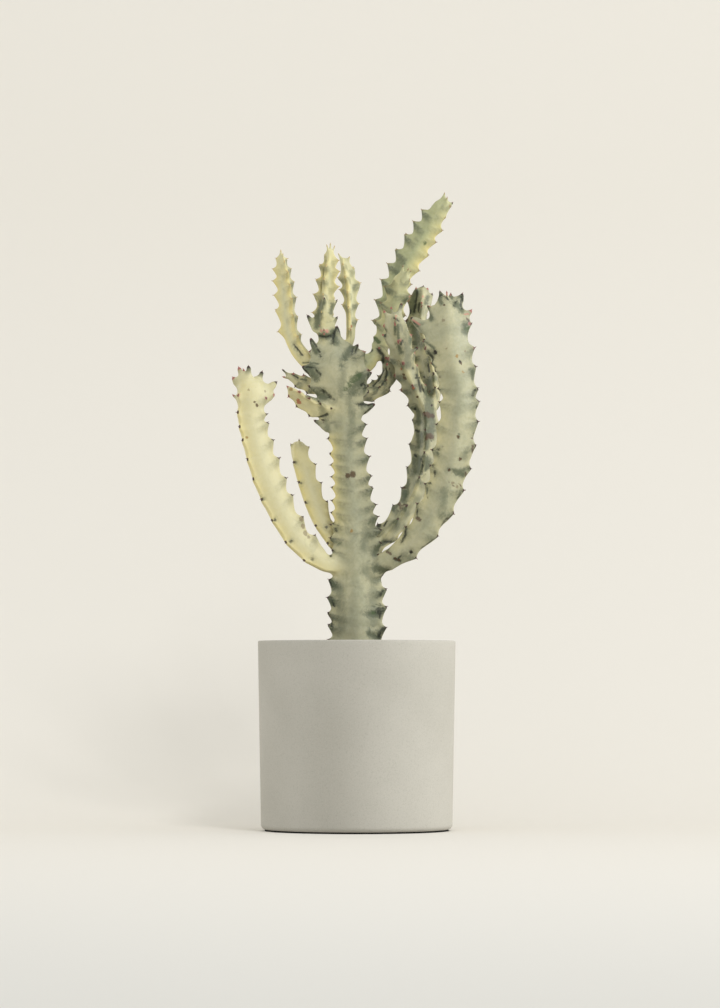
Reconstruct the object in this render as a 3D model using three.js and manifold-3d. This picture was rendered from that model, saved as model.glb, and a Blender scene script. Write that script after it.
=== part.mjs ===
/**
 * Potted candelabra euphorbia: a pale succulent with toothed ribs in a straight-sided matte pot.
 *
 * Millimetres, +Z up, front towards -Y. The origin is the middle of the pot's underside.
 * Every stem is one solid: a ribbed body swept along its route, with a tooth and a spine at each
 * eye of each rib and pointed buds at its crown. Each side stem is seated against its carrier.
 */
import * as THREE from 'three';
import { mergeVertices } from 'three/addons/utils/BufferGeometryUtils.js';
import Module from 'manifold-3d';

const wasm = await Module();
wasm.setup();

const TOWARDS_FRONT = new THREE.Vector3(0, -1, 0);

// ---- Driving dimensions ------------------------------------------------------------------------

const CLEARANCE = 0.35;            // gap between neighbouring pieces

const POT_RIM_RADIUS = 82.5;
const POT_FOOT_RADIUS = 79.8;      // just above the rounded bottom edge
const POT_HEIGHT = 158;
const POT_WALL = 6.5;
const POT_FLOOR = 9;
const POT_FOOT_ROUNDING = 4.5;
const POT_RIM_ROUNDING = 1.2;
const POT_SIDES = 64;
const POT_FOOT_STEPS = 3;          // straight pieces of each rounding
const POT_RIM_STEPS = 2;

const SOIL_LEVEL = 143;
const SOIL_MOUND = 3;              // rise of the soil between its edge and the stem
const SOIL_CLOD_HEIGHT = 1.6;      // of a clod above or below the mound
const SOIL_CLOD_SPACING = 27;
const SOIL_CLOD_SHIFT = [4.3, -1.7];
const SOIL_COLLAR = 8;             // width of the level ring of soil round the stem
const SOIL_RINGS = 5;
const SOIL_SIDES = 44;
const STUMP_RADIUS = 18;           // plain buried foot of the trunk
const STUMP_DEPTH = 46;
const STUMP_COLLAR = 10;           // height to which the stump stands inside the ribbed trunk
const STUMP_TOE = 9;               // slope at the stump's lower end
const STUMP_SIDES = 28;

const SAME_POINT = 1e-3;           // corners nearer than this are one corner

const RINGS_PER_TOOTH = 3;
const RISE_BELOW_TOOTH = 0.4;      // rise of the rib's edge on the ring below a tooth
const FULL_TOOTH_REACH = 6;        // ribs that stand out less than this carry smaller teeth
const RIB_EDGE = 1.7;              // half the thickness of a rib's blunt edge
const TOOTH_EDGE = 0.75;           // half the thickness at the point of a tooth
const HOLLOW_SPREAD = 0.34;        // where the two hollow points lie between two ribs
const TIP_RISE = 0.35;             // height of the rounded end, as a share of the last reach
const SPINE_LENGTH = 2.2;
const SPINE_LEAN = 0.9;            // how far a spine's point leans up the stem
const SPINE_RADIUS = 0.62;
const SPINE_ROOT = 1.5;            // depth of the spine's foot inside its tooth
const BUD_SIDES = 5;
const BUD_POINT = 2.4;             // length of the bud's own spine
const BUD_FLATNESS = 0.66;         // a bud's depth, as a share of its width

// ---- Finishes ----------------------------------------------------------------------------------

const FINISHES = {
  pot: { color: 0xb3b1a4, roughness: 0.85, metalness: 0 },
  soil: { color: 0x4b3d31, roughness: 1, metalness: 0 },
  greyGreen: { color: 0xabaa8c, roughness: 0.62, metalness: 0 },
  cream: { color: 0xcfc69d, roughness: 0.6, metalness: 0 },
  young: { color: 0xc6c79d, roughness: 0.58, metalness: 0 },
};

// ---- Stems -------------------------------------------------------------------------------------
// A station is [x, y, z, reach]: a point of the stem's centre line and how far its ribs stand out
// there, teeth not counted. Rib angles are in degrees, from the stem's right side round its front.
// A bud is [root, tip, half its width at the root]; its root lies inside the stem.

const TRUNK = {
  name: 'trunk',
  finish: 'greyGreen',
  ribs: [10, 170, 232, 308],
  toothPitch: 13.5,
  toothHeight: 4.6,
  hollow: 0.64,
  axes: [[
    [0, 0, SOIL_LEVEL + CLEARANCE, 20.5], [0, 0, 190, 21.5], [0, 0, 226, 20.5], [-1, 0, 259, 17.5],
    [-3.5, 0, 292, 14.5], [-6.5, 0, 322, 14], [-9.5, 0, 343, 15.5], [-12.5, 0, 359, 19.5],
    [-15.5, 0, 380, 24], [-18, 0, 394, 23], [-19.5, 0, 404, 17],
  ]],
  buds: [
    [[-24, -2, 386], [-38.5, -8, 410], 10],
    [[-23, -3, 396], [-26.5, -7, 419], 7],
    [[-17.5, -1, 396], [-16.5, -5, 421], 8.5],
    [[-12, -2, 386], [1, -7, 405], 9.5],
    [[-24, -2, 374], [-45.5, -5, 387], 8.5],
    [[-9, -2, 366], [12.5, -7, 382], 9],
    [[-6, -1, 346], [15, -4, 355.5], 8],
    [[-17, -1, 334], [-35.5, -4, 342], 7],
  ],
};

const SIDE_STEMS = [
  {
    name: 'arm_left_outer',
    finish: 'cream',
    ribs: [12, 132, 255],
    toothPitch: 16.5,
    toothHeight: 3.6,
    hollow: 0.72,
    axes: [[
      [-2, 0, 217, 8], [-16, -2, 219.5, 8.5], [-30, -6, 224, 9], [-48, -12, 239, 11],
      [-62, -19, 262, 12], [-73.5, -25, 290, 13], [-82, -29, 317, 12.5], [-88, -32, 343, 11.5],
      [-88.5, -33, 360, 13], [-87.5, -33, 373, 11.5],
    ]],
    buds: [
      [[-86, -32, 355], [-67, -30, 372], 8],
      [[-86, -32, 353], [-69, -30, 362], 8],
      [[-92, -34, 364], [-102, -36, 375.5], 6],
      [[-90, -34, 366], [-97.5, -35, 383], 5.5],
      [[-83, -32, 366], [-78.5, -30, 380.5], 6],
    ],
  },
  {
    name: 'arm_left_inner',
    finish: 'cream',
    ribs: [8, 128, 250],
    toothPitch: 16,
    toothHeight: 3,
    hollow: 0.72,
    axes: [[
      [-4, 1, 222, 7], [-18, 6, 240, 7.5], [-29.5, 12, 259, 8.5], [-36.5, 17, 277, 9],
      [-42, 21, 294, 9], [-46.5, 24, 311, 8.5], [-50, 26, 323, 7.5],
    ]],
    buds: [
      [[-48, 25, 312], [-40, 26, 322.5], 5],
    ],
  },
  {
    name: 'arm_right_outer',
    finish: 'greyGreen',
    ribs: [4, 176, 270],
    toothPitch: 19,
    toothHeight: 3.6,
    hollow: 0.62,
    axes: [[
      [3, 0, 212, 8], [24, -7, 222, 8.5], [48.5, -15, 240, 9.8], [61, -20, 258, 12],
      [69.5, -24, 276, 13.2], [77, -28, 300, 14], [81, -31, 320, 15], [83, -34, 345, 14],
      [83.5, -34, 361, 13], [81, -34, 381, 15.5], [75.5, -34, 405, 19], [75, -34, 422, 17.5],
      [76, -34, 434, 12.5],
    ]],
    buds: [
      [[70, -34, 408], [45, -34, 425], 11],
      [[71, -34, 415], [58.5, -34, 435.5], 8],
      [[75, -34, 422], [69, -34, 446.5], 8],
      [[79, -34, 422], [87.5, -34, 444.5], 8],
      [[78, -34, 413], [94.5, -35, 431], 9],
    ],
  },
  {
    name: 'arm_right_inner',
    finish: 'greyGreen',
    ribs: [100, 178, 320],
    toothPitch: 16.5,
    toothHeight: 3,
    hollow: 0.6,
    axes: [
      [
        [2, 1, 232, 7], [17, 6, 244, 8.5], [32, 11, 259, 9], [44, 16, 275, 9.5], [53, 20, 291, 11],
        [58.5, 23, 311, 12], [60, 25, 331, 12.5], [57.5, 23, 350, 12], [49, 16, 368, 10],
        [42, 8, 386, 10], [37, 0, 405, 11], [33.5, -4, 421, 10.5], [32.5, -5, 429, 8.5],
      ],
      [
        [56, 26, 334, 8], [60.5, 30, 353, 10], [63.5, 35, 370, 11.5], [61, 38, 391, 11.5],
        [55, 40, 412, 10], [53, 41, 430, 9], [53.5, 42, 447, 9], [54.5, 42, 456, 7.5],
      ],
    ],
    buds: [
      [[31, -5, 418], [22.8, -5, 433.5], 5.5],
      [[33.5, -4, 420], [37.5, -1, 440], 5.5],
      [[38, -1, 394], [51, 1, 403.5], 5.5],
      [[54, 41, 444], [56.5, 42, 460], 5.5],
    ],
  },
  {
    name: 'shoot_left',
    finish: 'young',
    ribs: [62, 182, 320],
    toothPitch: 10.8,
    toothHeight: 3.6,
    hollow: 0.6,
    axes: [[
      [-22, 2, 381, 7], [-37, 5, 390, 7.5], [-46.5, 8, 399, 7], [-53, 11, 410, 6.5],
      [-57, 13, 425, 6.8], [-58.5, 14, 440, 6.8], [-60, 15, 455, 6.6], [-62, 15, 470, 5.6],
      [-63.5, 15, 482, 3.2],
    ]],
    buds: [],
  },
  {
    name: 'shoot_middle',
    finish: 'young',
    ribs: [8, 112, 172, 285],
    toothPitch: 12.5,
    toothHeight: 3.8,
    hollow: 0.58,
    axes: [[
      [-24, -1, 400, 6.5], [-27, -4, 416, 6.4], [-27.5, -7, 429, 6.4], [-26, -10, 444, 6.4],
      [-24, -13, 461, 6], [-22.5, -14, 474, 5], [-21.8, -15, 483, 3.4],
    ]],
    buds: [
      [[-28, -6, 414], [-41, -6, 429.5], 7],
      [[-26, -6, 414], [-16, -6, 429], 6],
      [[-25.5, -8, 428], [-16, -8, 443], 5.5],
    ],
  },
  {
    name: 'shoot_centre_right',
    finish: 'young',
    ribs: [2, 108, 205],
    toothPitch: 12,
    toothHeight: 3.4,
    hollow: 0.6,
    axes: [[
      [-9, 2, 399, 5], [-5, 4, 412, 4.4], [-4.5, 6, 426, 4.4], [-5, 8, 441, 5.2],
      [-6, 9, 455, 6.2], [-8.5, 10, 467, 5.6], [-12, 10, 480, 3.2],
    ]],
    buds: [],
  },
  {
    name: 'shoot_tall',
    finish: 'young',
    ribs: [8, 174, 275],
    toothPitch: 14,
    toothHeight: 4.6,
    hollow: 0.58,
    axes: [
      [
        [-9, 2, 378, 7], [5, 8, 391, 6.8], [15.5, 15, 402, 6], [21.5, 22, 414, 6.2],
        [25, 30, 430, 7], [30, 38, 450, 8.2], [38, 42, 470, 9], [47, 43, 486, 9.5],
        [55, 43, 499, 9.4], [63, 43, 512, 8.6], [70.5, 43, 525, 7], [75, 43, 533, 5],
      ],
      [
        [19, 21, 411, 5.5], [27, 22, 427, 7], [32.5, 21, 442, 8], [36, 20, 457, 7.4],
        [39.5, 19, 468, 5],
      ],
    ],
    buds: [
      [[74, 43, 522], [74.5, 43, 540.5], 4],
    ],
  },
  {
    name: 'shoot_curled',
    finish: 'greyGreen',
    ribs: [90, 205, 325],
    toothPitch: 11,
    toothHeight: 2.6,
    hollow: 0.6,
    axes: [[
      [-8, 2, 368, 7], [4, 6, 368.5, 7.5], [15, 10, 372, 7.5], [22, 13, 381, 6.8],
      [23, 15, 392, 5.4], [18.5, 16, 402, 3.4],
    ]],
    buds: [],
  },
  {
    name: 'stub_left_upper',
    finish: 'cream',
    ribs: [20, 165, 280],
    toothPitch: 11,
    toothHeight: 2.2,
    hollow: 0.6,
    axes: [[
      [-22, 2, 367, 6.2], [-34, 6, 371, 6.6], [-44, 10, 374, 5.6], [-53, 14, 378.5, 4.2],
      [-58.5, 16, 382, 3],
    ]],
    buds: [],
  },
  {
    name: 'stub_left_lower',
    finish: 'cream',
    ribs: [60, 180, 300],
    toothPitch: 11,
    toothHeight: 2,
    hollow: 0.6,
    axes: [[
      [-20, -3, 347.5, 7], [-31, -6, 351, 7.5], [-41, -10, 356, 6.8], [-50, -14, 362.5, 5.8],
      [-55.5, -16.5, 367.5, 4],
    ]],
    buds: [],
  },
];

// ---- Solids ------------------------------------------------------------------------------------

/** A closed solid from a flat list of coordinates and a flat list of triangle corners. */
function solidFrom(coordinates, corners) {
  return new wasm.Manifold(new wasm.Mesh({
    numProp: 3,
    vertProperties: new Float32Array(coordinates),
    triVerts: new Uint32Array(corners),
  }));
}

/** A closed solid from a three.js geometry, its shared corners merged. */
function solidFromGeometry(geometry) {
  const plain = geometry.clone();
  plain.deleteAttribute('normal');
  plain.deleteAttribute('uv');
  const merged = mergeVertices(plain, SAME_POINT);
  return solidFrom(merged.getAttribute('position').array, merged.getIndex().array);
}

/** A three.js geometry from a solid. */
function geometryFromSolid(solid) {
  const { vertProperties, triVerts } = solid.getMesh();
  const geometry = new THREE.BufferGeometry();
  geometry.setAttribute('position', new THREE.BufferAttribute(vertProperties, 3));
  geometry.setIndex(new THREE.BufferAttribute(triVerts, 1));
  geometry.computeVertexNormals();
  return geometry;
}

/** The largest of the bodies that a cut leaves. */
function largestBody(solid) {
  return solid.decompose().reduce((best, body) => (body.volume() > best.volume() ? body : best));
}

/** A solid of revolution about Z from a profile of [radius, height] points. */
function turned(profile, sides) {
  const points = profile.map(([radius, height]) => new THREE.Vector2(radius, height));
  return new THREE.LatheGeometry(points, sides).rotateX(Math.PI / 2);
}

// ---- Ribbed stems ------------------------------------------------------------------------------

/** A closed outline pushed outwards by the same distance on every side. */
function grownOutline(outline, distance) {
  return outline.map((point, index) => {
    const before = outline.at(index - 1);
    const after = outline[(index + 1) % outline.length];
    const along = [point.clone().sub(before).normalize(), after.clone().sub(point).normalize()];
    const [out, next] = along.map((edge) => new THREE.Vector2(-edge.y, edge.x));
    const mitre = out.clone().add(next).normalize();
    return point.clone().addScaledVector(mitre, -distance / mitre.dot(out));
  });
}

/** Whether a rib carries a tooth at a ring: neighbouring ribs carry theirs in turn. */
function hasTooth(ring, rib, lastRing) {
  return (ring + rib) % RINGS_PER_TOOTH === 0 && ring > 0 && ring < lastRing;
}

/** How far a rib's edge has risen to a tooth at a ring: fully at the tooth, partly just below it. */
function toothRise(ring, rib, lastRing) {
  if (hasTooth(ring, rib, lastRing)) {
    return 1;
  }
  return hasTooth(ring + 1, rib, lastRing) ? RISE_BELOW_TOOTH : 0;
}

/** The height of a stem's teeth where its ribs stand out by the given reach. */
function toothHeightAt(stem, reach) {
  return stem.toothHeight * Math.min(1, reach / FULL_TOOTH_REACH);
}

/** The section of a stem: two edge points for each rib and two points in the hollow after it. */
function sectionOutline(stem, reach, ring, lastRing) {
  const points = [];
  stem.ribs.forEach((degrees, rib) => {
    const angle = THREE.MathUtils.degToRad(degrees);
    const turnOn = (stem.ribs[rib + 1] ?? stem.ribs[0] + 360) - degrees;
    const rise = toothRise(ring, rib, lastRing);
    const edge = (rise === 1 ? TOOTH_EDGE : RIB_EDGE) * Math.min(1, reach / FULL_TOOTH_REACH);
    const tip = reach + toothHeightAt(stem, reach) * rise;
    const outwards = new THREE.Vector2(Math.cos(angle), Math.sin(angle));
    const sideways = new THREE.Vector2(-outwards.y, outwards.x);
    for (const side of [-1, 1]) {
      points.push(outwards.clone().multiplyScalar(tip).addScaledVector(sideways, side * edge));
    }
    for (const share of [HOLLOW_SPREAD, 1 - HOLLOW_SPREAD]) {
      const hollowAngle = angle + THREE.MathUtils.degToRad(turnOn * share);
      const hollow = new THREE.Vector2(Math.cos(hollowAngle), Math.sin(hollowAngle));
      points.push(hollow.multiplyScalar(reach * stem.hollow));
    }
  });
  return points;
}

/** Evenly spaced stations of an axis, each with its own section frame and rib reach. */
function stationsAlong(stem, axis) {
  const route = new THREE.CatmullRomCurve3(axis.map(([x, y, z]) => new THREE.Vector3(x, y, z)));
  const reaches = new THREE.CatmullRomCurve3(axis.map((station) => new THREE.Vector3(station[3], 0, 0)));
  const ringSpacing = stem.toothPitch / RINGS_PER_TOOTH;
  const lastRing = Math.round(route.getLength() / ringSpacing);
  return Array.from({ length: lastRing + 1 }, (_, ring) => {
    const share = ring / lastRing;
    const tangent = route.getTangentAt(share);
    const side = tangent.clone().cross(TOWARDS_FRONT).normalize();
    return {
      ring,
      lastRing,
      centre: route.getPointAt(share),
      tangent,
      side,
      front: side.clone().cross(tangent),
      reach: reaches.getPoint(route.getUtoTmapping(share)).x,
    };
  });
}

/** The ribbed body along one axis, grown by a distance on every side. */
function ribbedBody(stem, stations, growth) {
  const coordinates = [];
  const corners = [];
  const around = sectionOutline(stem, 1, 0, 0).length;
  for (const { ring, lastRing, centre, side, front, reach } of stations) {
    for (const { x, y } of grownOutline(sectionOutline(stem, reach, ring, lastRing), growth)) {
      const point = centre.clone().addScaledVector(side, x).addScaledVector(front, y);
      coordinates.push(...point.toArray());
    }
  }
  for (let ring = 1; ring < stations.length; ring += 1) {
    for (let index = 0; index < around; index += 1) {
      const low = (ring - 1) * around;
      const next = (index + 1) % around;
      const [a, b, c, d] = [low + index, low + next, low + around + index, low + around + next];
      corners.push(a, c, b, b, c, d);
    }
  }
  const [first, last] = [stations[0], stations.at(-1)];
  const foot = coordinates.length / 3;
  const summit = last.centre.clone().addScaledVector(last.tangent, last.reach * TIP_RISE + growth);
  coordinates.push(...first.centre.toArray(), ...summit.toArray());
  const top = (stations.length - 1) * around;
  for (let index = 0; index < around; index += 1) {
    const next = (index + 1) % around;
    corners.push(foot, index, next, foot + 1, top + next, top + index);
  }
  return solidFrom(coordinates, corners);
}

/** Three-sided spines, one standing out of each tooth, as one solid of separate points. */
function spines(stem, stations, growth) {
  const coordinates = [];
  const corners = [];
  for (const { ring, lastRing, centre, tangent, side, front, reach } of stations) {
    stem.ribs.forEach((degrees, rib) => {
      if (!hasTooth(ring, rib, lastRing)) {
        return;
      }
      const angle = THREE.MathUtils.degToRad(degrees);
      const outwards = side.clone().multiplyScalar(Math.cos(angle)).addScaledVector(front, Math.sin(angle));
      const across = outwards.clone().cross(tangent);
      const point = centre.clone().addScaledVector(outwards, reach + toothHeightAt(stem, reach));
      const footPoint = point.clone().addScaledVector(outwards, -SPINE_ROOT);
      const corner = coordinates.length / 3;
      for (const degreesRound of [0, 120, 240]) {
        const round = THREE.MathUtils.degToRad(degreesRound);
        const spread = SPINE_RADIUS + growth;
        const vertex = footPoint.clone().addScaledVector(tangent, Math.cos(round) * spread);
        coordinates.push(...vertex.addScaledVector(across, Math.sin(round) * spread).toArray());
      }
      const tip = point.addScaledVector(outwards, SPINE_LENGTH + growth);
      coordinates.push(...tip.addScaledVector(tangent, SPINE_LEAN).toArray());
      corners.push(corner, corner + 2, corner + 1, corner, corner + 1, corner + 3);
      corners.push(corner + 1, corner + 2, corner + 3, corner + 2, corner, corner + 3);
    });
  }
  return solidFrom(coordinates, corners);
}

/** A pointed bud, flattened from front to back and ending in its spine. */
function budSolid([root, tip, halfWidth], growth) {
  const from = new THREE.Vector3(...root);
  const to = new THREE.Vector3(...tip);
  const axis = to.clone().sub(from).normalize();
  to.addScaledVector(axis, BUD_POINT + growth);
  const length = from.distanceTo(to);
  const wide = axis.clone().cross(TOWARDS_FRONT).normalize();
  const deep = wide.clone().cross(axis).multiplyScalar(BUD_FLATNESS);
  const cone = new THREE.ConeGeometry(halfWidth + growth, length, BUD_SIDES).translate(0, length / 2, 0);
  cone.applyMatrix4(new THREE.Matrix4().makeBasis(wide, axis, deep).setPosition(from));
  return solidFromGeometry(cone);
}

/** One whole stem: the ribbed bodies of all its axes, their spines and its buds, joined. */
function stemSolid(stem, growth = 0) {
  const bodies = stem.axes.map((axis) => {
    const stations = stationsAlong(stem, axis);
    return ribbedBody(stem, stations, growth).add(spines(stem, stations, growth));
  });
  const buds = stem.buds.map((bud) => budSolid(bud, growth));
  return [...bodies, ...buds].reduce((whole, body) => whole.add(body));
}

/** The trunk with the plain round stump that stands in the soil. */
function trunkSolid(growth = 0) {
  const depth = SOIL_LEVEL - STUMP_DEPTH;
  const stump = turned([
    [0, depth], [STUMP_RADIUS - STUMP_TOE, depth], [STUMP_RADIUS, depth + STUMP_TOE],
    [STUMP_RADIUS, SOIL_LEVEL + STUMP_COLLAR], [0, SOIL_LEVEL + STUMP_COLLAR],
  ], STUMP_SIDES);
  return stemSolid(TRUNK, growth).add(solidFromGeometry(stump));
}

// ---- Pot and soil ------------------------------------------------------------------------------

/** A quarter-round of a profile about its [radius, height] centre, counted from an angle. */
function quarterRound([radius, height], rounding, fromDegrees, steps) {
  return Array.from({ length: steps + 1 }, (_, step) => {
    const angle = THREE.MathUtils.degToRad(fromDegrees + (90 * step) / steps);
    return [radius + rounding * Math.cos(angle), height + rounding * Math.sin(angle)];
  });
}

/** The pot: a slightly flared cup with a rounded foot, a small round at the rim and a flat base. */
function potGeometry() {
  const footCentre = [POT_FOOT_RADIUS - POT_FOOT_ROUNDING, POT_FOOT_ROUNDING];
  const foot = quarterRound(footCentre, POT_FOOT_ROUNDING, -90, POT_FOOT_STEPS);
  const rimHeight = POT_HEIGHT - POT_RIM_ROUNDING;
  const outerCentre = [POT_RIM_RADIUS - POT_RIM_ROUNDING, rimHeight];
  const outerRim = quarterRound(outerCentre, POT_RIM_ROUNDING, 0, POT_RIM_STEPS);
  const innerCentre = [POT_RIM_RADIUS - POT_WALL + POT_RIM_ROUNDING, rimHeight];
  const innerRim = quarterRound(innerCentre, POT_RIM_ROUNDING, 90, POT_RIM_STEPS);
  const well = [[POT_FOOT_RADIUS - POT_WALL, POT_FLOOR], [0, POT_FLOOR]];
  return turned([[0, 0], ...foot, ...outerRim, ...innerRim, ...well], POT_SIDES);
}

/** Inner radius of the pot at a height. */
function potInside(height) {
  const share = (height - POT_FLOOR) / (POT_HEIGHT - POT_FLOOR);
  return THREE.MathUtils.lerp(POT_FOOT_RADIUS, POT_RIM_RADIUS, share) - POT_WALL - CLEARANCE;
}

/** How far the clods raise or lower the soil at a place. */
function clodHeight(x, y) {
  const turn = (2 * Math.PI) / SOIL_CLOD_SPACING;
  const [shiftX, shiftY] = SOIL_CLOD_SHIFT;
  return SOIL_CLOD_HEIGHT * Math.sin(turn * (x + shiftX)) * Math.cos(turn * (y + shiftY));
}

/** The soil that fills the pot, cloddy on top, with a plain hole for the stump. */
function soilGeometry() {
  const floor = POT_FLOOR + CLEARANCE;
  const hole = STUMP_RADIUS + CLEARANCE;
  const holeFloor = SOIL_LEVEL - STUMP_DEPTH - CLEARANCE;
  const collar = hole + SOIL_COLLAR;
  const edgeLevel = SOIL_LEVEL - SOIL_MOUND;
  const top = Array.from({ length: SOIL_RINGS }, (_, ring) => {
    const share = ring / SOIL_RINGS;
    return [THREE.MathUtils.lerp(potInside(edgeLevel), collar, share), edgeLevel + SOIL_MOUND * share];
  });
  const geometry = turned([
    [0, floor], [potInside(floor), floor], ...top, [collar, SOIL_LEVEL], [hole, SOIL_LEVEL],
    [hole, holeFloor], [0, holeFloor],
  ], SOIL_SIDES);
  const position = geometry.getAttribute('position');
  for (let index = 0; index < position.count; index += 1) {
    const [x, y, z] = [position.getX(index), position.getY(index), position.getZ(index)];
    if (z >= edgeLevel && Math.hypot(x, y) > collar + CLEARANCE) {
      position.setZ(index, z + clodHeight(x, y));
    }
  }
  return geometry;
}

// ---- The whole object --------------------------------------------------------------------------

/** A named mesh with its own finish. */
function piece(name, geometry, finish) {
  const mesh = new THREE.Mesh(geometry, new THREE.MeshStandardMaterial(FINISHES[finish]));
  mesh.name = name;
  return mesh;
}

/** The side stems, each cut back to the stems before it so that it seats against them. */
function sideStemPieces() {
  let carriers = trunkSolid(CLEARANCE);
  return SIDE_STEMS.map((stem) => {
    const fitted = largestBody(stemSolid(stem).subtract(carriers));
    carriers = carriers.add(stemSolid(stem, CLEARANCE));
    return piece(stem.name, geometryFromSolid(fitted), stem.finish);
  });
}

const pottedEuphorbia = new THREE.Group();
pottedEuphorbia.name = 'potted_euphorbia';
pottedEuphorbia.add(
  piece('pot', potGeometry(), 'pot'),
  piece('soil', soilGeometry(), 'soil'),
  piece(TRUNK.name, geometryFromSolid(trunkSolid()), TRUNK.finish),
  ...sideStemPieces(),
);

export default pottedEuphorbia;
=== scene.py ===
"""Looks of a potted candelabra euphorbia.

A pale, marbled succulent stands in a straight-sided matte pot. Its toothed trunk carries curved side
arms, and slender young shoots rise from its crown. Lengths are in millimetres where a name ends in
``_mm`` or ``_MM``, in pixels of the photograph where it ends in ``_px``, and in metres elsewhere.
"""

import logging
import math
from dataclasses import dataclass, field, replace
from enum import Enum

import bpy
import numpy as np
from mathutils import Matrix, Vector
from mathutils.kdtree import KDTree


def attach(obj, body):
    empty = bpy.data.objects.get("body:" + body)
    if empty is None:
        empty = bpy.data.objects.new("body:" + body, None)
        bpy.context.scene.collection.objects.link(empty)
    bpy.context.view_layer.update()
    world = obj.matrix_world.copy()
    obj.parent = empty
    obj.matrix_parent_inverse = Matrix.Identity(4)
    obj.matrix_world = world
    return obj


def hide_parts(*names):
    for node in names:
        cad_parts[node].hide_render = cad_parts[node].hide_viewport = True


logging.basicConfig(level=logging.INFO, format="%(name)s: %(message)s")
LOG = logging.getLogger("euphorbia")

MM = 0.001
WAVE_PHASES = 6.28
Array, Socket, Thing = np.ndarray, bpy.types.NodeSocket, bpy.types.Object

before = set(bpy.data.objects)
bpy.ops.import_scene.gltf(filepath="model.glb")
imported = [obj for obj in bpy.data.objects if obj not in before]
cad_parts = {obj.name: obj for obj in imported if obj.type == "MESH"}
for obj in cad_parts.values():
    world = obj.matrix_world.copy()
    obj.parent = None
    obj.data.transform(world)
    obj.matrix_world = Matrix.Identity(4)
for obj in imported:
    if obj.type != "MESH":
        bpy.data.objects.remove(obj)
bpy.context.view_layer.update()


def srgb(*channels: int) -> tuple[float, ...]:
    """A linear colour with full alpha.

    Args:
        *channels: Red, green and blue of the screen colour, 0 to 255.

    Returns:
        The colour's four shares.
    """
    shares = [value / 255 for value in channels]
    return (*(s / 12.92 if s <= 0.04045 else ((s + 0.055) / 1.055) ** 2.4 for s in shares), 1.0)


# ---- Node trees ----


class NodeSheet:
    """A small writer for node trees: it adds nodes and joins their sockets."""

    def __init__(self, tree: bpy.types.NodeTree) -> None:
        """Starts on a tree."""
        self.tree = tree

    def add(self, kind: str, settings: dict | None = None, **inputs: object) -> bpy.types.Node:
        """Adds a node.

        Args:
            kind: The node's type name.
            settings: Properties of the node itself.
            **inputs: Values or sockets for its inputs, spaces in a name written as underscores.

        Returns:
            The new node.
        """
        node = self.tree.nodes.new(kind)
        for name, value in (settings or {}).items():
            setattr(node, name, value)
        for name, value in inputs.items():
            self.feed(node, name.replace("_", " "), value)
        return node

    def feed(self, node: bpy.types.Node, name: str | int, value: object) -> None:
        """Sets or links one input.

        Args:
            node: The node whose input it is.
            name: The input's name or number.
            value: A plain value, or the output socket that feeds it.
        """
        socket = node.inputs[name]
        if isinstance(value, Socket):
            self.tree.links.new(value, socket)
        else:
            socket.default_value = value

    def filled(self, kind: str, settings: dict, *inputs: object) -> bpy.types.Node:
        """Adds a node whose inputs are given in their own order.

        Args:
            kind: The node's type name.
            settings: Properties of the node itself.
            *inputs: Values or sockets for its first inputs.

        Returns:
            The new node.
        """
        node = self.add(kind, settings)
        for number, value in enumerate(inputs):
            self.feed(node, number, value)
        return node

    def maths(self, operation: str, first: object, second: object, clamp: bool = False) -> Socket:
        """The result of a Math node, held between 0 and 1 where clamp is set."""
        return self.filled("ShaderNodeMath", {"operation": operation, "use_clamp": clamp}, first, second).outputs[0]

    def times(self, first: object, second: object, clamp: bool = False) -> Socket:
        """One value multiplied by another."""
        return self.maths("MULTIPLY", first, second, clamp)

    def vector(self, operation: str, *inputs: object) -> bpy.types.Node:
        """A Vector Math node."""
        return self.filled("ShaderNodeVectorMath", {"operation": operation}, *inputs)

    def ramp(self, value: object, low: float, high: float, start: float = 0.0, end: float = 1.0) -> Socket:
        """Maps a value smoothly from one range to another.

        Args:
            value: The value or socket.
            low: Value that gives start.
            high: Value that gives end.
            start: Result at low.
            end: Result at high.

        Returns:
            The result's socket.
        """
        node = self.add("ShaderNodeMapRange", {"interpolation_type": "SMOOTHSTEP"}, Value=value,
                        From_Min=low, From_Max=high, To_Min=start, To_Max=end)
        return node.outputs["Result"]

    def blend(self, share: object, first: object, second: object) -> Socket:
        """Mixes two colours.

        Args:
            share: How much of the second, a value or socket.
            first: First colour or socket.
            second: Second colour or socket.

        Returns:
            The mixed colour's socket.
        """
        node = self.add("ShaderNodeMix", {"data_type": "RGBA"})
        for number, value in ((0, share), (6, first), (7, second)):
            self.feed(node, number, value)
        return node.outputs[2]

    def noise(self, place: Socket, scale: float, detail: float = 4.0, roughness: float = 0.5,
              distortion: float = 0.0) -> Socket:
        """Adds a noise pattern.

        Args:
            place: The coordinates.
            scale: Pattern repeats per metre.
            detail: Octaves of detail.
            roughness: Strength of the fine octaves.
            distortion: Warp of the pattern.

        Returns:
            The noise value's socket.
        """
        return self.add("ShaderNodeTexNoise", Vector=place, Scale=scale, Detail=detail, Roughness=roughness,
                        Distortion=distortion).outputs["Fac"]

    def place(self) -> Socket:
        """The object's own coordinates."""
        return self.add("ShaderNodeTexCoord").outputs["Object"]

    def value(self, name: str) -> Socket:
        """The value of one of the mesh's own attributes."""
        return self.add("ShaderNodeAttribute", {"attribute_name": name}).outputs["Fac"]

    def bump(self, strength: float, distance: float, height: Socket) -> Socket:
        """A normal that makes a height show as relief."""
        return self.add("ShaderNodeBump", Strength=strength, Distance=distance, Height=height).outputs[0]


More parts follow.
